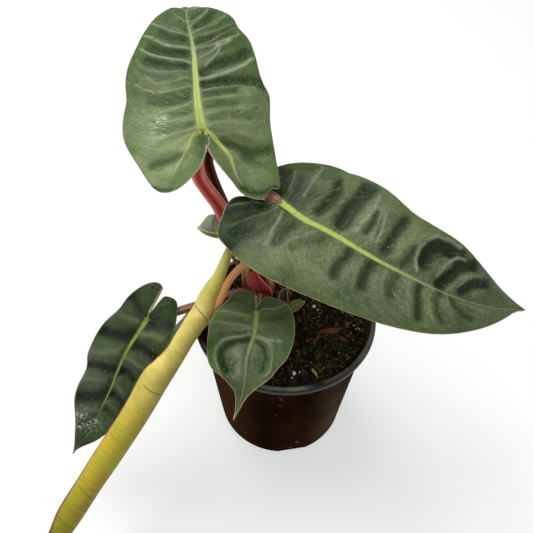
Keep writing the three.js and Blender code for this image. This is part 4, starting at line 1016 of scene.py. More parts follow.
tuckedLeaf = {
    "axis": [(-59.4, -10.8, 127), (-64.7, -15.6, 124), (-76.8, -19.2, 110), (-87.1, -23.2, 97),
             (-98.5, -27, 83), (-108.4, -31.6, 71)],
    "rolls": [-10, -10, -10, -10, -10, -10], "fold": [0, 0],
    "droop": 0, "arch": 1, "wave": 0.3, "sweep": 1.2, "keel": 0.6, "thickness": 0.85,
    "columns": 22, "rowsPerVein": 10, "fanRows": 24, "seed": 53, "crinkle": 0.4,
    "ribWidth": 1.0, "ribRaise": 0.2, "veinWidth": 0.3,
    # one row a vein: margin along, margin across, where it leaves the midrib, pillow height
    "left": [(-3, 0, 0, 0), (-8, -1.5, 0, 0.3), (-12, -5, 0, 0.6), (-9, -10, 0, 1), (2, -12, 1, 1.2),
             (14, -12.5, 7, 1.5), (27, -11, 17, 1.5), (39, -8, 28, 1.2), (51, -3.5, 42, 0.6),
             (59.5, 0, 59.5, 0)],
    "right": [(-3, 0, 0, 0), (-8, 1.5, 0, 0.3), (-12, 6, 0, 0.6), (-9, 11.5, 0, 1), (2, 13.5, 1, 1.2),
              (14, 13.5, 7, 1.5), (27, 12, 17, 1.5), (39, 8.5, 28, 1.2), (51, 3.5, 42, 0.6),
              (59.5, 0, 59.5, 0)],
    "veinsLeft": [0, 0, 0, 0.6, 0.8, 1, 1, 1, 0.8, 0],
    "veinsRight": [0, 0, 0, 0.6, 0.8, 1, 1, 1, 0.8, 0],
    "stalk": [(-10.4, 21.7, 105), (-10.4, 21.7, 117), (-12, 21, 134), (-17.5, 19.5, 146.5),
              (-25.3, 16.4, 151),
              (-31, 11.5, 152.3), (-34.5, 7.6, 151.6), (-38.5, 3.2, 149), (-41.9, -0.7, 144),
              (-44.7, -4.8, 138.5), (-47.9, -8.8, 134.4), (-53, -10.8, 130.4)],
    "stalkRadius": 3.1, "stalkEnd": 2.2, "stalkFace": (-0.4, -0.6, 1), "inLine": 8,
}

# painted light: a pale Base tone on the lobes, strongest on the left lobe that faces the light; Shade Tip
# paints shade toward the tip
greenFace = leafMaterial("greyGreenFace", {
    "Deep": rgb(26, 50, 6), "Dark": rgb(72, 88, 46), "Light": rgb(126, 140, 98), "Crest": rgb(168, 176, 148),
    "Flush": rgb(58, 98, 22), "Rib": rgb(176, 190, 100), "Vein": rgb(148, 160, 116),
    "Edge": rgb(186, 168, 142),
    "Wisp Amount": 0.5, "Base": rgb(160, 176, 124), "Base Amount": 0.65, "Base Right": 0.35,
    "Vein Amount": 0.6, "Fine Amount": 0.2, "Flush Amount": 0.6, "Shade Tip": 1.0, "Dust": 0.35,
    "Edge Width": 0.5}, coat=0.03)
# painted shade: a dark Base tone on the lobes, which lie in the upper leaf's shadow
darkFace = leafMaterial("darkGreenFace", {
    "Deep": rgb(20, 36, 6), "Dark": rgb(52, 68, 34), "Light": rgb(112, 122, 86), "Crest": rgb(152, 160, 132),
    "Flush": rgb(58, 86, 30), "Rib": rgb(164, 188, 82), "Vein": rgb(124, 138, 94), "Edge": rgb(164, 150, 98),
    "Wisp Amount": 0.4, "Base": rgb(20, 34, 8), "Base Amount": 0.95, "Vein Amount": 0.4, "Fine Amount": 0.07,
    "Flush Amount": 0.5, "Dust": 0.35, "Edge Width": 0.55}, coat=0.04)
wetFace = leafMaterial("deepGreenFace", {
    "Deep": rgb(8, 20, 3), "Dark": rgb(38, 54, 22), "Light": rgb(80, 92, 60), "Crest": rgb(98, 110, 80),
    "Flush": rgb(36, 60, 16), "Rib": rgb(128, 150, 66), "Vein": rgb(62, 80, 40), "Edge": rgb(140, 122, 88),
    "Wisp Amount": 0.25, "Base": rgb(24, 38, 10), "Base Amount": 0.5, "Vein Amount": 0.25, "Fine Amount": 0.1,
    "Flush Amount": 0.5, "Dust": 0.5, "Edge Width": 0.45}, coat=0.05, bump=0.0005, gloss=0.13)
heartFace = leafMaterial("youngGreenFace", {
    "Deep": rgb(20, 38, 8), "Dark": rgb(58, 74, 38), "Light": rgb(116, 128, 90), "Crest": rgb(146, 156, 124),
    "Flush": rgb(62, 102, 34), "Rib": rgb(146, 164, 88), "Vein": rgb(128, 144, 100),
    "Edge": rgb(184, 158, 124),
    "Wisp Amount": 0.4, "Base": rgb(44, 60, 28), "Base Amount": 0.7, "Vein Amount": 0.6, "Fine Amount": 0.16,
    "Flush Amount": 0.6, "Dust": 0.3, "Edge Width": 0.55}, coat=0.04)
paleFace = leafMaterial("paleGreenFace", {
    "Deep": rgb(130, 142, 112), "Dark": rgb(182, 192, 166), "Light": rgb(216, 222, 204),
    "Crest": rgb(230, 234, 220),
    "Flush": rgb(166, 180, 138), "Rib": rgb(206, 214, 180), "Vein": rgb(190, 200, 170),
    "Edge": rgb(228, 228, 178),
    "Base": rgb(180, 190, 160), "Base Amount": 0.3, "Vein Amount": 0.35, "Fine Amount": 0.12,
    "Flush Amount": 0.3, "Wisp Amount": 0.2, "Dust": 0.2, "Edge Width": 0.6})
limeUnderside = leafMaterial("limeUnderside", {
    "Deep": rgb(70, 96, 4), "Dark": rgb(106, 134, 14), "Light": rgb(136, 160, 34), "Crest": rgb(160, 180, 70),
    "Flush": rgb(110, 140, 16), "Rib": rgb(170, 184, 80), "Vein": rgb(156, 172, 70),
    "Edge": rgb(220, 222, 160),
    "Vein Amount": 0.5, "Fine Amount": 0.2, "Flush Amount": 0.3, "Dust": 0.0, "Edge Width": 0.5},
    roughen=0.12)
underside = leafMaterial("leafUnderside", {
    "Deep": rgb(78, 92, 52), "Dark": rgb(96, 110, 68), "Light": rgb(122, 134, 92),
    "Crest": rgb(136, 146, 104),
    "Flush": rgb(100, 122, 66), "Rib": rgb(160, 170, 98), "Vein": rgb(146, 156, 106),
    "Edge": rgb(180, 160, 128),
    "Vein Amount": 0.7, "Fine Amount": 0.3, "Flush Amount": 0.3, "Dust": 0.0, "Edge Width": 0.5},
    roughen=0.12)

makeBlade("upperBlade", upperLeaf, (greenFace, underside), "blade_upper")
makeBlade("rightBlade", rightLeaf, (darkFace, underside), "blade_right")
makeBlade("hangingBlade", hangingLeaf, (wetFace, underside), "blade_hanging")
makeBlade("heartBlade", heartLeaf, (heartFace, underside), "blade_heart")
makeBlade("foldedBlade", foldedLeaf, (paleFace, limeUnderside), "blade_folded")
makeBlade("tuckedBlade", tuckedLeaf, (heartFace, underside), "blade_tucked")


# Leaf stalks
def stalkPattern():
    group, start, end = newGroup("stalkPattern", {
        "Main": rgb(160, 95, 60), "Groove": rgb(100, 35, 28), "Edge": rgb(190, 120, 100),
        "Streak": rgb(120, 90, 55), "Root": rgb(120, 60, 40), "Top": rgb(170, 120, 92),
        "Streak Amount": 0.5},
        ["Color", "Height"])
    take = start.outputs
    lengthwise = stretched(group, coords(group, "UV"), (26.0, 0.035, 1.0))
    finer = stretched(group, coords(group, "UV"), (90.0, 0.06, 1.0))
    streak = cloud(group, lengthwise, 1.0, 3.0, 0.6)
    thread = cloud(group, finer, 1.0, 3.0, 0.6)
    blotch = cloud(group, coords(group), 70, 4.0)
    groove, ridge, root = (attribute(group, n) for n in ("groove", "ridge", "root"))
    colour = paint(group, take["Main"], take["Streak"], ramp(group, streak, 0.38, 0.66),
                   take["Streak Amount"])
    colour = paint(group, colour, take["Edge"], ramp(group, thread, 0.45, 0.7), 0.35)
    colour = paint(group, colour, take["Groove"], ramp(group, blotch, 0.5, 0.75), 0.4)
    # the channel takes the darker Groove tone: painted shade in the groove
    colour = blendColour(group, groove, colour, take["Groove"])
    colour = blendColour(group, ridge, colour, take["Edge"])
    colour = blendColour(group, root, colour, take["Root"])
    colour = paint(group, colour, take["Top"], attribute(group, "top"),
                   ramp(group, thread, 0.3, 0.6, 0.5, 1.0))
    feed(group, end.inputs["Color"], colour)
    feed(group, end.inputs["Height"], plus(group, times(group, streak, 0.6), thread))
    return group


stalkGroup = stalkPattern()


def stalkMaterial(name, roughness, tones, bump=0.0003, gloss=0.25):
    material, tree, shader = newMaterial(name, roughness=roughness, **{"Specular IOR Level": gloss})
    node = useGroup(tree, stalkGroup, **tones)
    feed(tree, shader.inputs["Base Color"], node.outputs["Color"])
    bumpFrom(tree, shader, node.outputs["Height"], bump)
    return material


def makeStalk(name, shape, material, nodes):
    spaced, length = stalkCurve(shape["points"], max(24, int(len(shape["points"]) * shape.get("density", 9))))
    count = len(spaced) - 1
    around = shape.get("around", 40)
    piece, spots = addGrid(name, around, count)
    normals, tangents = [], []
    face = Vector(shape["face"])
    for k in range(count + 1):
        tangent = (spaced[min(k + 1, count)] - spaced[max(k - 1, 0)]).normalized()
        face = (face - tangent * face.dot(tangent)).normalized()
        normals.append(face.copy())
        tangents.append(tangent)
    values = {"groove": [], "ridge": [], "root": [], "top": []}
    uvs = []
    for vertex, (column, row) in zip(piece.data.vertices, spots):
        turn = column / around
        angle = turn * math.tau
        t = row / count
        radius = mix(shape["radius"], shape["end"], t)
        radius *= 1 + shape.get("swell", 0.0) * smooth(t, 0.9, 1.0)
        radius *= 1 + shape.get("body", 0.0) * smooth(t, 0.2, 0.6) * (1 - 0.6 * smooth(t, 0.9, 1.0))
        # the groove faces the stalk's front, with a raised rim on both sides
        off = abs((turn + 0.5) % 1.0 - 0.5) * 2
        groove = 1 - smooth(off, 0.0, shape["grooveWidth"])
        rim = math.exp(-((off - shape["grooveWidth"]) / 0.07) ** 2)
        relief = -shape["groove"] * groove + 0.06 * rim
        relief += 0.025 * math.cos(9 * angle + 1)
        relief += 0.02 * math.cos(4 * angle)
        relief += 0.02 * noise.noise(Vector((math.cos(angle) * 1.4, math.sin(angle) * 1.4, t * length / 14)))
        radius *= 1 + relief
        close = min(1.0, min(t * count, (1 - t) * count) / 3)
        radius *= math.sqrt(max(0.0, 1 - (1 - close) ** 2))
        across = tangents[row].cross(normals[row])
        vertex.co = (spaced[row] + (normals[row] * math.cos(angle) + across * math.sin(angle))
                     * radius) * millimetre
        values["groove"].append(groove)
        values["ridge"].append(0.8 * rim * smooth(t * length, 4, 16))
        values["root"].append(1 - smooth(spaced[row].z, 118, 132))
        values["top"].append(smooth((1 - t) * length, 22, 9))
        uvs.append((turn, t * length))
    writeValues(piece, values, uvs)
    for polygon in piece.data.polygons:  # the seam column keeps its own turn
        turns = [piece.data.uv_layers.active.data[i].uv[0] for i in polygon.loop_indices]
        if max(turns) - min(turns) > 0.5:
            for i in polygon.loop_indices:
                if piece.data.uv_layers.active.data[i].uv[0] < 0.5:
                    piece.data.uv_layers.active.data[i].uv[0] += 1
    weld(piece)
    piece.data.materials.append(material)
    finishPiece(piece, nodes)
    return piece


def leafStalk(name, leaf, material, slot, nodes, **extra):
    midrib = buildMidrib(leaf)
    points = list(leaf["stalk"])
    if "inLine" in leaf:
        for u in (-leaf["inLine"], -3.0):
            points.append(tuple(midribFrame(midrib, u)[0]))
        for u, deep in ((1.2, 1.0), (4.5, 1.8)):
            point, _, _, normal = midribFrame(midrib, u)
            points.append(tuple(point - normal * (leaf["stalkEnd"] + deep)))
    else:
        point, _, _, normal = midribFrame(midrib, 0)
        along = (point - Vector(points[-1])).normalized()
        reach = leaf["stalkEnd"] * math.sqrt(max(0.0, 1 - along.dot(normal) ** 2))
        points.append(tuple(point - normal * (0.85 + reach * 0.9)))
    shape = {"points": points, "radius": leaf["stalkRadius"], "end": leaf["stalkEnd"],
             "face": leaf["stalkFace"], "groove": 0.2, "grooveWidth": 0.2, "swell": 0.08, **extra}
    return makeStalk(name, shape, material, nodes)


redStalk = stalkMaterial("redStalk", 0.42, {
    "Main": rgb(204, 92, 66), "Groove": rgb(150, 30, 30), "Edge": rgb(236, 144, 122),
    "Streak": rgb(164, 62, 44), "Root": rgb(126, 58, 40), "Streak Amount": 0.6})
darkStalk = stalkMaterial("darkStalk", 0.4, {
    "Main": rgb(84, 34, 12), "Groove": rgb(44, 14, 6), "Edge": rgb(120, 54, 26), "Streak": rgb(52, 20, 8),
    "Root": rgb(60, 28, 14), "Top": rgb(170, 120, 96), "Streak Amount": 0.6}, gloss=0.06)
roseStalk = stalkMaterial("roseStalk", 0.45, {
    "Main": rgb(134, 106, 84), "Groove": rgb(104, 60, 44), "Edge": rgb(188, 140, 122),
    "Streak": rgb(120, 98, 66), "Root": rgb(104, 62, 48), "Streak Amount": 0.5})
orangeStalk = stalkMaterial("orangeStalk", 0.42, {
    "Main": rgb(222, 156, 96), "Groove": rgb(172, 104, 58), "Edge": rgb(240, 196, 150),
    "Streak": rgb(184, 122, 66), "Root": rgb(150, 84, 54), "Streak Amount": 0.5})
leafStalk("upperStalk", upperLeaf, redStalk, "petiole_red", ["petiole_upper"], grooveWidth=0.26, body=0.36)
leafStalk("rightStalk", rightLeaf, darkStalk, "petiole_dark", ["petiole_right"], body=0.3)
leafStalk("hangingStalk", hangingLeaf, roseStalk, "petiole_rose", ["petiole_hanging"])
leafStalk("heartStalk", heartLeaf, roseStalk, "petiole_rose", ["petiole_heart"])
leafStalk("foldedStalk", foldedLeaf, roseStalk, "petiole_rose", ["petiole_folded"])
leafStalk("tuckedStalk", tuckedLeaf, orangeStalk, "petiole_orange", ["petiole_tucked"])
makeStalk("spearStalk", {
    "points": [(-28.6, 25.2, 105), (-28.6, 25.2, 117), (-28.6, 24.9, 130), (-29.4, 23.4, 146),
               (-29.8, 18, 163.7),
               (-30, 10.5, 177.5), (-30.6, 3.5, 186.7), (-33.2, -3, 190.4), (-37.2, -9, 187)],
    "radius": 3.3, "end": 3.0, "face": (-0.3, -1, 0.2), "groove": 0.12, "grooveWidth": 0.2},
    orangeStalk, ["petiole_spear"])
print("stalks ready")


# The newest leaf, still rolled
spear = {
    "path": [(-31.2, 1.8, 188.6, 2.4), (-33.8, -3.4, 190, 2.6), (-37.3, -8.7, 187, 2.8),
             (-43.7, -18.7, 174, 4.0), (-49.9, -25.9, 165, 5.8), (-53.2, -31.6, 158.5, 6.5),
             (-57.6, -36.3, 152.5, 6.8), (-64.6, -43.2, 144, 6.6), (-71, -50.3, 136, 6.8),
             (-78.2, -56.7, 129, 8.4),
             (-84.4, -61.9, 122.5, 9.5), (-96.4, -76.8, 107, 9), (-112.3, -96.5, 91, 8.8),
             (-123.9, -111.3, 80, 8.3),
             (-134, -125.8, 71, 8.1), (-139.7, -135.5, 65, 6.7), (-146, -148.1, 58.5, 5.1),
             (-152.6, -161.4, 52, 2.9), (-156.6, -170.2, 48, 0.7)],
    "step": 0.13, "around": 76, "rings": 16, "seamTurn": 0.68,
    # edges of the inner wraps: place along, rise per turn, first and last turn, strength
    "overlaps": [(48.7, 16, 0.1, 0.58, 0.65), (78.5, 14, 0.28, 0.56, 0.35), (110.5, 6, 0.24, 0.54, 0.65),
                 (149, 8, 0.15, 0.45, 0.3), (184, 14, 0.2, 0.5, 0.5), (206, 12, 0.2, 0.55, 0.4)],
}


def makeSpear():
    path, around = spear["path"], spear["around"]
    count = (len(path) - 1) * spear["rings"]
    piece, spots = addGrid("spearLeaf", around + 1, count)
    frames, run = [], 0.0
    for i in range(count + 1):
        here = splineAt(path, i / spear["rings"])
        ahead = Vector(splineAt(path, min(i + 1, count) / spear["rings"])[:3])
        behind = Vector(splineAt(path, max(i - 1, 0) / spear["rings"])[:3])
        if i:
            run += (Vector(here[:3]) - frames[-1][0]).length
        tangent = (ahead - behind).normalized()
        side = tangent.cross(Vector((0, 0, 1))).normalized()
        frames.append((Vector(here[:3]), here[3], side, side.cross(tangent), run))
    wrapSpan = 5 * spear["rings"]
    values = {"seam": [], "along": [], "facing": []}
    uvs = []
    for vertex, (column, row) in zip(piece.data.vertices, spots):
        centre, radius, side, up, run = frames[row]
        turn = min(column / around, 1.0) if column <= around else 0.0
        angle = turn * math.tau + spear["seamTurn"]
        wrap = smooth(row, spear["rings"], wrapSpan)
        r = radius * (1.02 - spear["step"] * wrap * turn)
        r *= 1 + 0.018 * noise.noise(Vector((math.cos(angle), math.sin(angle), run / 16)))
        close = min(1.0, min(row, count - row) / 4)
        r *= math.sqrt(max(0.0, 1 - (1 - close) ** 2))
        vertex.co = (centre + (side * math.cos(angle) + up * math.sin(angle)) * r) * millimetre
        values["seam"].append(turn * math.tau * radius)
        values["facing"].append(turn + spear["seamTurn"] / math.tau)
        values["along"].append(run)
        uvs.append((turn, run))
    writeValues(piece, values, uvs)
    weld(piece)
    piece.data.materials.append(spearMaterial())
    finishPiece(piece, ["spear_leaf"])
    print("spear ready")


def spearMaterial():
    material, tree, shader = newMaterial("rolledLeaf", roughness=0.45, **{"Specular IOR Level": 0.16})
    uv = coords(tree, "UV")
    along, seam, facing = (attribute(tree, n) for n in ("along", "seam", "facing"))
    # fine bands cross the roll, a little aslant
    stripe = cloud(tree, stretched(tree, uv, (5.0, 0.75, 1.0)), 1.0, 4.0, 0.65, 0.25)
    band = cloud(tree, stretched(tree, uv, (3.0, 0.2, 1.0)), 1.0, 3.0, 0.6, 0.3)
    broad = cloud(tree, stretched(tree, uv, (2.0, 0.05, 1.0)), 1.0, 3.0)
    patch = cloud(tree, coords(tree), 45, 4.0)
    pore = cloud(tree, coords(tree), 900, 2.0)
    colour = blendColour(tree, ramp(tree, broad, 0.36, 0.64), rgb(204, 188, 100), rgb(230, 208, 122))
    colour = blendColour(tree, ramp(tree, along, 10.0, 60.0, 0.9, 0.0), colour, rgb(166, 166, 84))
    colour = blendColour(tree, ramp(tree, along, 80.0, 160.0), colour, rgb(182, 162, 42))
    colour = blendColour(tree, ramp(tree, along, 160.0, 230.0), colour, rgb(112, 106, 6))
    # painted shade: the side of the roll turned away from the light is darker
    colour = paint(tree, colour, rgb(122, 108, 28), ramp(tree, facing, 0.26, 0.52), 0.85)
    colour = paint(tree, colour, rgb(160, 154, 50), ramp(tree, band, 0.45, 0.68), 0.16)
    colour = paint(tree, colour, rgb(226, 214, 124), ramp(tree, stripe, 0.5, 0.62), 0.11)
    colour = paint(tree, colour, rgb(136, 126, 38), ramp(tree, stripe, 0.36, 0.48, 1.0, 0.0), 0.17)
    colour = paint(tree, colour, rgb(150, 156, 50), ramp(tree, patch, 0.45, 0.62), 0.4)
    colour = paint(tree, colour, rgb(100, 84, 30), ramp(tree, pore, 0.5, 0.7), 0.12)
    for start, slope, low, high, depth in spear["overlaps"]:  # edges of the inner wraps
        off = calc(tree, 'ABSOLUTE', calc(tree, 'SUBTRACT', calc(tree, 'SUBTRACT', along, start),
                                          times(tree, facing, slope)))
        part = times(tree, ramp(tree, facing, low, low + 0.04),
                     ramp(tree, facing, high - 0.04, high, 1.0, 0.0))
        line = times(tree, ramp(tree, off, 0.1, 0.75, depth, 0.0), part)
        colour = blendColour(tree, line, colour, rgb(92, 78, 24))
    # a brown line along the roll's outer edge, and painted shadow on the inner wrap just under the overlapping
    # edge
    wide = calc(tree, 'SUBTRACT', seam, ramp(tree, along, 170.0, 230.0, 0.0, 1.6))
    edgeLineAndShadowMask = calc(tree, 'MAXIMUM', ramp(tree, wide, 1.4, 2.8, 1.0, 0.0), ramp(tree, facing, 1.04, 1.07))
    edgeLineAndShadowMask = times(tree, edgeLineAndShadowMask, ramp(tree, along, 60.0, 110.0))
    edgeLineAndShadowTone = blendColour(tree, ramp(tree, along, 150.0, 225.0), rgb(160, 104, 74), rgb(112, 58, 30))
    colour = blendColour(tree, edgeLineAndShadowMask, colour, edgeLineAndShadowTone)
    feed(tree, shader.inputs["Base Color"], colour)
    bumpFrom(tree, shader, plus(tree, stripe, band), 0.00035)
    return material


makeSpear()


# Sheaths and a seedling at the crown
def smallLeaf(name, shape, materials, node):
    half, length = shape.get("half", (1, 1)), shape.get("length", 1)
    profile = [(-3.5, 0, 0, 0), (-3.0, 0.3, 0, 0), (0.12 * length, 0.8, 0.08 * length, 0),
               (0.4 * length, 1, 0.3 * length, 0.4), (0.7 * length, 0.72, 0.55 * length, 0.3),
               (0.9 * length, 0.28, 0.82 * length, 0), (length, 0, length, 0)]
    leaf = {"rolls": [0] * len(shape["axis"]), "droop": 0, "arch": 0.3, "wave": 0, "sweep": 1.2, "keel": 0.3,
            "thickness": 0.85, "columns": 20, "rowsPerVein": 10, "fanRows": 10, "crinkle": 0.25,
            "ribWidth": 0.6, "ribRaise": 0.0, "veinWidth": 0.2,
            "left": [(u, -w * half[0], r, h) for u, w, r, h in profile],
            "right": [(u, w * half[1], r, h) for u, w, r, h in profile], **shape}
    leaf["veinsLeft"] = [0] + [0.7] * (len(leaf["left"]) - 2) + [0]
    leaf["veinsRight"] = [0] + [0.7] * (len(leaf["right"]) - 2) + [0]
    return makeBlade(name, leaf, materials, node)


redInside = leafMaterial("redSheathInside", {
    "Deep": rgb(80, 4, 6), "Dark": rgb(176, 24, 24), "Light": rgb(238, 84, 78), "Crest": rgb(244, 150, 140),
    "Flush": rgb(250, 130, 126), "Rib": rgb(128, 20, 24), "Vein": rgb(176, 60, 60),
    "Edge": rgb(232, 150, 142),
    "Base": rgb(255, 160, 150), "Base Amount": 1.0, "Vein Amount": 0.3, "Fine Amount": 0.2,
    "Flush Amount": 0.4, "Shade Tip": 0.6, "Dust": 0.0, "Edge Width": 0.5})
redOutside = leafMaterial("redSheathOutside", {
    "Deep": rgb(110, 90, 56), "Dark": rgb(172, 172, 118), "Light": rgb(206, 202, 152),
    "Crest": rgb(216, 212, 170),
    "Flush": rgb(190, 110, 92), "Rib": rgb(170, 150, 96), "Vein": rgb(190, 116, 92),
    "Edge": rgb(220, 190, 150), "Vein Amount": 0.4, "Fine Amount": 0.3, "Dust": 0.0, "Edge Width": 1.0})
dryFace = leafMaterial("drySheath", {
    "Dark": rgb(52, 30, 16), "Light": rgb(96, 62, 42), "Rib": rgb(70, 40, 26), "Vein": rgb(120, 84, 66),
    "Edge": rgb(176, 132, 118), "Vein Amount": 0.5, "Fine Amount": 0.4, "Dust": 0.0, "Edge Width": 1.2},
    roughen=0.2)
seedFace = leafMaterial("seedlingFace", {
    "Dark": rgb(96, 92, 44), "Light": rgb(140, 134, 76), "Rib": rgb(160, 150, 84), "Vein": rgb(160, 152, 92),
    "Edge": rgb(180, 150, 90), "Vein Amount": 0.5, "Fine Amount": 0.4, "Dust": 0.1, "Edge Width": 0.4})
smallLeaf("redSheath", {
    "axis": [(-15.6, 16.4, 113), (-15.8, 16.6, 116), (-17, 17.2, 121.5), (-19.2, 18.2, 128),
             (-20.8, 19.2, 134), (-21.8, 20.2, 140.5)],
    "rolls": [65] * 6, "fold": [18, 33], "seed": 61, "ribWidth": 0.05, "foldVein": 0,
    "left": [(-3.5, 0, 0, 0), (-3, -1.5, 0, 0), (2, -3.8, 1, 0.1), (7, -5.5, 4, 0.3), (12, -7.3, 8, 0.3),
             (17, -7.8, 12, 0.2), (22, -4, 18, 0), (25.5, 0, 25.5, 0)],
    "right": [(-3.5, 0, 0, 0), (-3, 2.5, 0, 0), (2, 8, 1, 0.1), (6, 9.5, 4, 0.3), (11, 8.5, 8, 0.3),
              (16, 6.5, 12, 0.2), (21.5, 3, 18, 0), (25.5, 0, 25.5, 0)]},
    (redInside, redOutside), "sheath_red")
smallLeaf("drySheath", {
    "axis": [(-1, 9.6, 113.5), (-0.8, 10.4, 116.3), (-0.3, 12.3, 120.3), (0.7, 13.8, 124),
             (2.6, 15.2, 127.4)],
    "fold": [35, 35], "half": (5, 4.5), "length": 12.6, "seed": 67}, (dryFace, dryFace),
    "sheath_dry")
smallLeaf("seedling", {
    "axis": [(0.5, 0.5, 115), (3, 2, 116.9), (7, 4.8, 118.8), (11, 7.5, 119.3), (15, 10, 118.4)],
    "fold": [18, 18], "half": (4.4, 4.4), "length": 15, "seed": 71}, (seedFace, seedFace),
    "seedling")


# Pot
pot = {
    "segments": 180, "slots": (-80, 10, 100, 190), "slotWidth": 21, "slotHeight": 4.4, "foot": 50.4,
    "lipHeight": 112.4, "lipRadius": 60.5,  # the lip has a material of its own above and outside of these
    # radius and height, from the underside up the outside, round the lip and down the inside
    "profile": [(0.4, 0), (30, 0), (48.8, 0), (49.2, 0), (49.9, 0.25), (50.3, 0.8), (50.45, 1.4),
                (52.2, 20), (54.9, 50), (57.6, 80), (60.3, 111.4), (60.5, 112.5), (61.1, 112.75),
                (63.6, 112.8), (64.3, 113.0), (64.8, 113.5), (65, 114.3), (65, 116.6), (64.85, 117.3),
                (64.3, 118.0), (63.3, 118.42), (62.3, 118.45), (61.6, 118.1), (61.1, 117.3),
                (60.7, 116.2), (59.3, 112.6), (59.0, 111.9), (56, 80), (53.3, 50), (49.2, 2.4),
                (48.8, 1.8), (48.3, 1.6), (30, 1.6), (0.4, 1.6)],
}


def turned(name, profile, segments):  # a ring drawn upwards along a profile, one extrusion a step
    deselectAll()
    radius, height = profile[0]
    bpy.ops.mesh.primitive_circle_add(vertices=segments, radius=radius * millimetre, fill_type='NGON',
                                      location=(0, 0, height * millimetre))
    piece = bpy.context.object
    piece.name = piece.data.name = name
    placeInMesh(piece)
    bpy.ops.object.mode_set(mode='EDIT')
    bpy.ops.mesh.select_all(action='SELECT')
    bpy.ops.mesh.region_to_loop()
    for (r0, z0), (r1, z1) in zip(profile, profile[1:]):
        bpy.ops.mesh.extrude_edges_move(TRANSFORM_OT_translate={"value": (0, 0, (z1 - z0) * millimetre)})
        bpy.ops.transform.resize(value=(r1 / r0, r1 / r0, 1), center_override=(0, 0, z1 * millimetre))
    bpy.ops.mesh.edge_face_add()
    bpy.ops.mesh.select_all(action='SELECT')
    bpy.ops.mesh.normals_make_consistent(inside=False)
    bpy.ops.object.mode_set(mode='OBJECT')
    return piece


def potMaterial():
    material, tree, shader = newMaterial("thinPlastic", roughness=0.4, **{"Specular IOR Level": 0.0})
    place = coords(tree)
    wide = cloud(tree, place, 16, 4.0)
    dust = cloud(tree, place, 90, 5.0, 0.7)
    scratch = cloud(tree, stretched(tree, place, (30, 30, 900)), 1.0, 4.0, 0.7)
    colour = blendColour(tree, ramp(tree, wide, 0.35, 0.65), rgb(22, 11, 5), rgb(38, 22, 12))
    side = addNode(tree, "ShaderNodeSeparateXYZ")
    feed(tree, side.inputs[0], place)
    # painted reflection: a lighter reddish sheen on the left side and a greyish sheen on the right side
    colour = blendColour(tree, ramp(tree, side.outputs[0], -0.012, -0.05, 0.0, 0.75), colour, rgb(74, 46, 34))
    colour = paint(tree, colour, rgb(78, 66, 52), ramp(tree, side.outputs[0], 0.014, 0.046),
                   ramp(tree, wide, 0.35, 0.6, 0.3, 0.9))
    colour = paint(tree, colour, rgb(84, 74, 60), ramp(tree, dust, 0.55, 0.8), 0.05)
    # a few fine curved scratches
    arcs = cells(tree, stretched(tree, place, (42, 42, 60)), 1.0, 'DISTANCE_TO_EDGE').outputs["Distance"]
    arcMask = times(tree, ramp(tree, arcs, 0.0, 0.018, 0.7, 0.0),
                    ramp(tree, cloud(tree, place, 110, 2.0), 0.6, 0.66))
    colour = blendColour(tree, arcMask, colour, rgb(128, 104, 84))
    feed(tree, shader.inputs["Base Color"], colour)
    feed(tree, shader.inputs["Roughness"],
         plus(tree, ramp(tree, dust, 0.35, 0.7, 0.0, 0.2), ramp(tree, scratch, 0.4, 0.7, 0.26, 0.4)))
    bumpFrom(tree, shader, plus(tree, scratch, dust), 0.00012)
    return material


def rimMaterial():  # the lip is greyer and glossier, with painted highlights along its top and lower edge
    material, tree, shader = newMaterial("lipWithPaintedHighlights", roughness=0.3, **{"Specular IOR Level": 0.17})
    place = coords(tree)
    wide, dust = cloud(tree, place, 40, 4.0), cloud(tree, place, 260, 5.0, 0.7)
    colour = blendColour(tree, ramp(tree, wide, 0.35, 0.65), rgb(12, 12, 8), rgb(30, 29, 23))
    colour = paint(tree, colour, rgb(110, 106, 92), ramp(tree, dust, 0.55, 0.75), 0.35)
    high = addNode(tree, "ShaderNodeSeparateXYZ")
    feed(tree, high.inputs[0], place)
    for low, top, amount in ((0.1174, 0.1184, 0.75), (0.1138, 0.1131, 0.5)):  # painted highlights on the top and lower edge
        mask = times(tree, ramp(tree, high.outputs[2], low, top), amount)
        colour = paint(tree, colour, rgb(124, 122, 108), mask, ramp(tree, wide, 0.3, 0.6))
    feed(tree, shader.inputs["Base Color"], colour)
    feed(tree, shader.inputs["Roughness"], ramp(tree, dust, 0.35, 0.7, 0.24, 0.44))
    bumpFrom(tree, shader, dust, 0.0001)
    return material


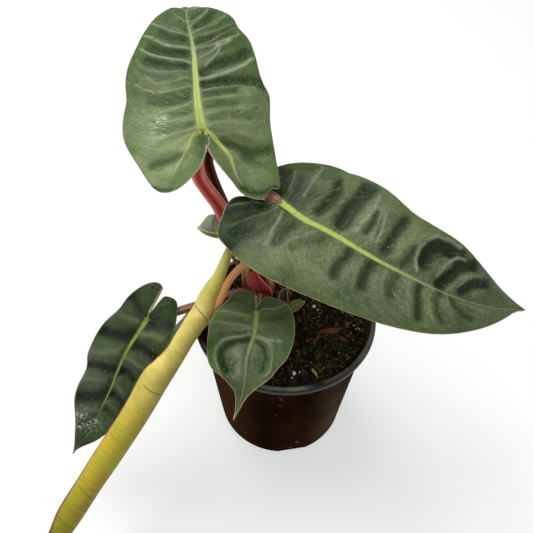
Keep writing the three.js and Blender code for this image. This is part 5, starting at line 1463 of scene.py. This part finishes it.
def makePot():
    piece = turned("nurseryPot", pot["profile"], pot["segments"])
    for angle in pot["slots"]:
        deselectAll()
        bpy.ops.mesh.primitive_cylinder_add(vertices=48, radius=1, depth=0.012)
        cutter = bpy.context.object
        turn = math.radians(angle)
        cutter.data.transform(Matrix.Diagonal((pot["slotWidth"] / 2 * millimetre,
                                               pot["slotHeight"] * millimetre, 1, 1)))
        cutter.data.transform(Matrix.Rotation(math.radians(90), 4, 'X'))
        cutter.data.transform(Matrix.Translation((0, pot["foot"] * millimetre, 0)))
        cutter.data.transform(Matrix.Rotation(turn - math.radians(90), 4, 'Z'))
        cut = piece.modifiers.new("slot", 'BOOLEAN')
        cut.operation = 'DIFFERENCE'
        cut.solver = 'EXACT'
        cut.object = cutter
        pickOnly(piece)
        bpy.ops.object.modifier_apply(modifier=cut.name)
        bpy.data.objects.remove(cutter)
    for vertex in piece.data.vertices:  # the thin wall is a little wavy below its lip
        x, y, z = vertex.co / millimetre
        turn = Vector((x, y)).normalized() * 1.6
        calm = smooth(z, 3, 25) * (1 - smooth(z, 85, 108))
        vertex.co.xy *= 1 + 0.006 * calm * noise.noise(Vector((turn.x, turn.y, z / 45)))
    piece.data.materials.append(potMaterial())
    piece.data.materials.append(rimMaterial())
    for polygon in piece.data.polygons:
        radius, height = polygon.center.xy.length / millimetre, polygon.center.z / millimetre
        polygon.material_index = 1 if height > pot["lipHeight"] and radius > pot["lipRadius"] else 0
    finishPiece(piece, ["pot"])
    pickOnly(piece)
    bpy.ops.object.shade_smooth_by_angle(angle=math.radians(34))
    print("pot ready")


makePot()


# Growing mix
mixTop = {"level": 114.2, "radius": 58.7, "grid": 190, "bump": 0.66, "crown": (-19, 24),
          "depth": 111, "floor": 2.1, "narrowing": 0.83}  # its wall runs down to the floor and narrows


def mixHeight(x, y):
    r = math.hypot(x, y)
    grain = math.sin(x * 0.55 + 1.3) * math.cos(y * 0.62 - 0.4) + 0.6 * math.sin(x * 0.23 - y * 0.31)
    grain += 0.5 * math.cos(x * 1.15 + y * 0.9)
    cx, cy = mixTop["crown"]
    rise = 1.2 * math.exp(-((x - cx) ** 2 + (y - cy) ** 2) / 300)
    height = mixTop["level"] + rise + mixTop["bump"] * grain - 1.2 * smooth(r, 46, 58)
    swell = 0.8 * noise.noise(Vector((x / 5, y / 5, 1)))
    height += swell + 0.55 * abs(noise.noise(Vector((x / 2.2, y / 2.2, 5))))
    return height + 0.35 * noise.noise(Vector((x / 0.9, y / 0.9, 9)))


def mixMaterial(name, dark, light, accent, scale=300.0, roughness=0.85, amount=0.5):
    material, tree, shader = newMaterial(name, roughness=roughness, **{"Specular IOR Level": 0.2})
    place = coords(tree)
    one = cloud(tree, place, scale, 5.0, 0.65)
    two = cloud(tree, place, scale * 3, 3.0)
    colour = blendColour(tree, ramp(tree, one, 0.38, 0.62), dark, light)
    colour = paint(tree, colour, accent, ramp(tree, two, 0.55, 0.7), amount)
    feed(tree, shader.inputs["Base Color"], colour)
    bumpFrom(tree, shader, plus(tree, one, times(tree, two, 0.5)), 0.0006)
    return material


def bitMaterial(name, steps, roughness=0.8, gloss=0.2, scale=900.0):
    # each bit has its own tone from 0 to 1, which picks its colour
    material, tree, shader = newMaterial(name, roughness=roughness, **{"Specular IOR Level": gloss})
    pick = addNode(tree, "ShaderNodeValToRGB")
    feed(tree, pick.inputs[0], attribute(tree, "tone"))
    stops = pick.color_ramp.elements
    while len(stops) < len(steps):
        stops.new(0.5)
    for stop, (place, colour) in zip(stops, steps):
        stop.position = place
        stop.color = colour
    mottle = cloud(tree, coords(tree), scale, 4.0, 0.6)
    shade = blendColour(tree, ramp(tree, mottle, 0.3, 0.7), (0.35, 0.35, 0.35, 1), (1.35, 1.35, 1.35, 1))
    feed(tree, shader.inputs["Base Color"], blendColour(tree, 1.0, pick.outputs[0], shade, 'MULTIPLY'))
    bumpFrom(tree, shader, mottle, 0.0003)
    return material


def makeMix():
    n = mixTop["grid"]
    piece, spots = addGrid("growingMix", n, n)
    for vertex, (column, row) in zip(piece.data.vertices, spots):
        p, q = column / n * 2 - 1, row / n * 2 - 1
        x = p * math.sqrt(1 - q * q / 2) * mixTop["radius"]
        y = q * math.sqrt(1 - p * p / 2) * mixTop["radius"]
        vertex.co = (x * millimetre, y * millimetre, mixHeight(x, y) * millimetre)
    pickOnly(piece)
    bpy.ops.object.mode_set(mode='EDIT')
    bpy.ops.mesh.select_all(action='SELECT')
    bpy.ops.mesh.region_to_loop()
    bpy.ops.mesh.extrude_edges_move(TRANSFORM_OT_translate={"value": (0, 0, -mixTop["depth"] * millimetre)})
    bpy.ops.transform.resize(value=(mixTop["narrowing"], mixTop["narrowing"], 0),
                             center_override=(0, 0, mixTop["floor"] * millimetre))
    bpy.ops.mesh.edge_face_add()
    bpy.ops.mesh.select_all(action='SELECT')
    bpy.ops.mesh.normals_make_consistent(inside=False)
    bpy.ops.object.mode_set(mode='OBJECT')
    piece.data.materials.append(mixMaterial("peatMix", rgb(14, 12, 7), rgb(48, 38, 24), rgb(86, 70, 46)))
    finishPiece(piece, ["growing_mix"])


def stubMaterial():
    return mixMaterial("oldStem", rgb(60, 44, 28), rgb(104, 82, 54), rgb(140, 116, 80), scale=160.0,
                       roughness=0.7)


def makeStem():
    profile = [(0.3, 98), (4.8, 98), (4.8, 113), (5.2, 115), (4.7, 116.6), (4.9, 118), (3.8, 119.6),
               (2, 120.6), (0.3, 120.8)]
    piece = turned("stemStub", profile, 40)
    piece.data.transform(Matrix.Translation((mixTop["crown"][0] * millimetre, mixTop["crown"][1] * millimetre,
                                             0)))
    piece.data.materials.append(stubMaterial())
    finishPiece(piece, ["stem"])


def onMix(x, y):
    return Vector((x, y, mixHeight(x, y)))


def scatter(name, master, bits, material):  # copies of one small shape, joined into one piece
    copies = []
    for place, scale, turn, tone in bits:
        bit = master.copy()
        bit.data = master.data.copy()
        bpy.context.collection.objects.link(bit)
        grow = Matrix.Diagonal((*[v * millimetre for v in scale], 1))
        bit.data.transform(Matrix.Translation(place * millimetre) @ turn.to_matrix().to_4x4() @ grow)
        tones = bit.data.attributes.new("tone", 'FLOAT', 'POINT').data
        tones.foreach_set("value", [tone] * len(tones))
        copies.append(bit)
    bpy.data.objects.remove(master)
    pickOnly(copies[0])
    for bit in copies:
        bit.select_set(True)
    bpy.ops.object.join()
    piece = bpy.context.object
    piece.name = piece.data.name = name
    piece.data.materials.append(material)
    finishPiece(piece)
    print(name, len(bits), "bits")
    return piece


def lump(subdivisions, rough, seed):  # a small uneven ball of radius 1
    deselectAll()
    bpy.ops.mesh.primitive_ico_sphere_add(subdivisions=subdivisions, radius=1)
    piece = bpy.context.object
    for vertex in piece.data.vertices:
        vertex.co *= 1 + rough * noise.noise(vertex.co * 1.7 + Vector((seed, 0, 0)))
    return piece


def sliver(bend):  # a thin curved strip along X, length 2, closed at both ends
    deselectAll()
    bpy.ops.mesh.primitive_cylinder_add(vertices=5, radius=1, depth=2, end_fill_type='TRIFAN',
                                        rotation=(0, math.pi / 2, 0))
    piece = bpy.context.object
    placeInMesh(piece)
    for x in (-0.5, 0.0, 0.5):
        bpy.ops.object.mode_set(mode='EDIT')
        bpy.ops.mesh.select_all(action='SELECT')
        bpy.ops.mesh.bisect(plane_co=(x, 0, 0), plane_no=(1, 0, 0))
        bpy.ops.object.mode_set(mode='OBJECT')
    for vertex in piece.data.vertices:
        thin = 1 - 0.75 * abs(vertex.co.x) ** 2.5
        vertex.co.y *= thin
        vertex.co.z = vertex.co.z * thin
        vertex.co.y += bend * (1 - vertex.co.x ** 2) * 2
    return piece


def tuft():  # a few pointed moss leaves round a stem
    deselectAll()
    bpy.ops.mesh.primitive_cone_add(vertices=10, radius1=0.5, radius2=0.15, depth=1.0, location=(0, 0, 0.5))
    piece = bpy.context.object
    placeInMesh(piece)
    for vertex in piece.data.vertices:
        angle = math.atan2(vertex.co.y, vertex.co.x)
        if vertex.co.z > 0.5:
            vertex.co.xy *= 1 + 4.5 * max(0.0, math.cos(angle * 5)) ** 2
            vertex.co.z += 0.25 * math.cos(angle * 5)
    return piece


mixBits = {
    "crumbs": 1900, "slivers": 1000, "threads": 150, "seed": 9,
    # place (x, y) and size in mm, turn in degrees
    "perlite": [(5.5, -48.9, 1.5), (21.4, 7.6, 1.5), (9.3, -48.2, 0.8), (4.2, -51.6, 0.7), (24.0, 5.4, 0.8),
                (36.5, -33.0, 0.6), (-33, -38, 1.0), (-45, 12, 1.2), (10, 46, 1.1), (44, 20, 0.9)],
    "bark": [((31.7, -14.0), (8.5, 2.1, 1.1), 8), ((40, -20), (4.4, 1.5, 0.9), -30),
             ((22, -21), (3.6, 1.2, 0.8), 60), ((-38, -16), (6.0, 2.0, 1.0), 40),
             ((30, 30), (6.5, 2.2, 1.0), -50), ((-30, 42), (5.4, 1.8, 0.9), 20)],
    "twigs": [((13, -42.5), (21.2, -52.5), 1.2, 0.8), ((3.5, -30), (13.5, -43), 0.6, 0.15),
              ((-0.4, -42.8), (3.4, -50), 0.6, 0.45), ((47, -8), (54, -14), 0.6, 1.0),
              ((50, -14), (52, -7), 0.45, 1.0), ((-48, -8), (-40, -22), 0.7, 0.6),
              ((20, 40), (38, 36), 0.8, 0.55)],
    "moss": [(30, -38, 14, 210), (41, -30, 10, 120), (10, -30.5, 9, 60), (22, -46, 8, 60), (18, -6, 14, 90),
             (26, -22, 16, 110), (-40, -28, 10, 60), (-20, 48, 12, 70), (48, 8, 8, 40)],
}


def spreadBits():
    luck = random.Random(mixBits["seed"])

    def spot(limit=57.5):
        r, angle = limit * math.sqrt(luck.random()), luck.uniform(0, math.tau)
        return r * math.cos(angle), r * math.sin(angle)

    def anyTurn(tilt=1.0):
        return Euler((luck.uniform(-tilt, tilt), luck.uniform(-tilt, tilt), luck.uniform(0, math.tau)))

    crumbs = []
    for _ in range(mixBits["crumbs"]):
        x, y = spot()
        size = luck.choice((0.5, 0.7, 0.8, 1.0, 1.4, 2.0)) * luck.uniform(0.8, 1.25)
        crumbs.append((onMix(x, y) + Vector((0, 0, size * 0.25)),
                       (size * luck.uniform(0.8, 1.5), size * luck.uniform(0.6, 1.1),
                        size * luck.uniform(0.5, 0.9)),
                       anyTurn(), luck.random() ** 1.6))
    earth = bitMaterial("mixCrumbs", [(0.0, rgb(3, 2, 1)), (0.5, rgb(16, 12, 4)), (0.75, rgb(52, 38, 16)),
                                      (0.93, rgb(98, 66, 32)), (1.0, rgb(150, 116, 64))])
    scatter("mixCrumbs", lump(1, 0.5, 3.0), crumbs, earth)
    slivers = []
    for _ in range(mixBits["slivers"]):
        x, y = spot()
        length = luck.uniform(1.2, 3.6)
        slivers.append((onMix(x, y) + Vector((0, 0, 0.5)),
                        (length, luck.uniform(0.25, 0.7), luck.uniform(0.15, 0.3)),
                        anyTurn(0.35), luck.random()))
    fibre = bitMaterial("mixFibres", [(0.0, rgb(10, 7, 3)), (0.45, rgb(44, 28, 12)), (0.8, rgb(96, 60, 28)),
                                      (1.0, rgb(158, 122, 70))])
    scatter("mixSlivers", sliver(0.15), slivers, fibre)
    threads = []
    for _ in range(mixBits["threads"]):
        x, y = spot(54)
        threads.append((onMix(x, y) + Vector((0, 0, 0.7)),
                        (luck.uniform(3, 8), 0.16 * luck.uniform(0.7, 1.3), 0.14),
                        anyTurn(0.12), luck.uniform(0.4, 1)))
    scatter("mixThreads", sliver(4.0), threads, fibre)
    grains = [(onMix(x, y) + Vector((0, 0, size * 0.55)), (size, size * 0.85, size * 0.8), anyTurn(),
               luck.random())
              for x, y, size in mixBits["perlite"]]
    scatter("perliteGrains", lump(2, 0.35, 8.0), grains,
            bitMaterial("perlite", [(0.0, rgb(222, 220, 208)), (1.0, rgb(246, 244, 236))], 0.7, 0.4, 1600.0))
    chips = [(onMix(x, y) + Vector((0, 0, 0.8)), size, Euler((0.06, -0.05, math.radians(turn))),
              luck.random())
             for (x, y), size, turn in mixBits["bark"]]
    scatter("barkChips", lump(3, 0.5, 5.0), chips,
            bitMaterial("barkChips", [(0.0, rgb(70, 36, 18)), (1.0, rgb(112, 64, 36))], 0.75, 0.2, 500.0))
    twigs = []
    for (x0, y0), (x1, y1), radius, tone in mixBits["twigs"]:
        first, last = onMix(x0, y0), onMix(x1, y1)
        span = last - first
        twigs.append(((first + last) / 2 + Vector((0, 0, radius + 0.4)), (span.length / 2, radius, radius),
                      Euler((0, -math.asin(span.z / span.length), math.atan2(span.y, span.x))), tone))
    scatter("mixTwigs", sliver(0.6), twigs,
            bitMaterial("mixTwigs", [(0.0, rgb(60, 40, 24)), (0.5, rgb(110, 78, 52)),
                                     (0.8, rgb(166, 148, 78)), (1.0, rgb(196, 164, 140))]))
    moss = []
    for x, y, spread, count in mixBits["moss"]:
        for _ in range(count):
            r, angle = spread * luck.random() ** 0.7, luck.uniform(0, math.tau)
            px, py = x + r * math.cos(angle), y + r * math.sin(angle) * 0.7
            if math.hypot(px, py) < 57:
                size = luck.uniform(0.5, 1.15)
                moss.append((onMix(px, py) - Vector((0, 0, 0.2)), (size, size, size * 1.3), anyTurn(0.5),
                             luck.random()))
    scatter("mossTufts", tuft(), moss,
            bitMaterial("moss", [(0.0, rgb(22, 30, 3)), (0.45, rgb(58, 70, 12)), (0.8, rgb(104, 112, 30)),
                                 (1.0, rgb(160, 160, 80))], 0.7, 0.2, 700.0))


makeMix()
makeStem()
spreadBits()
print("growing mix ready")
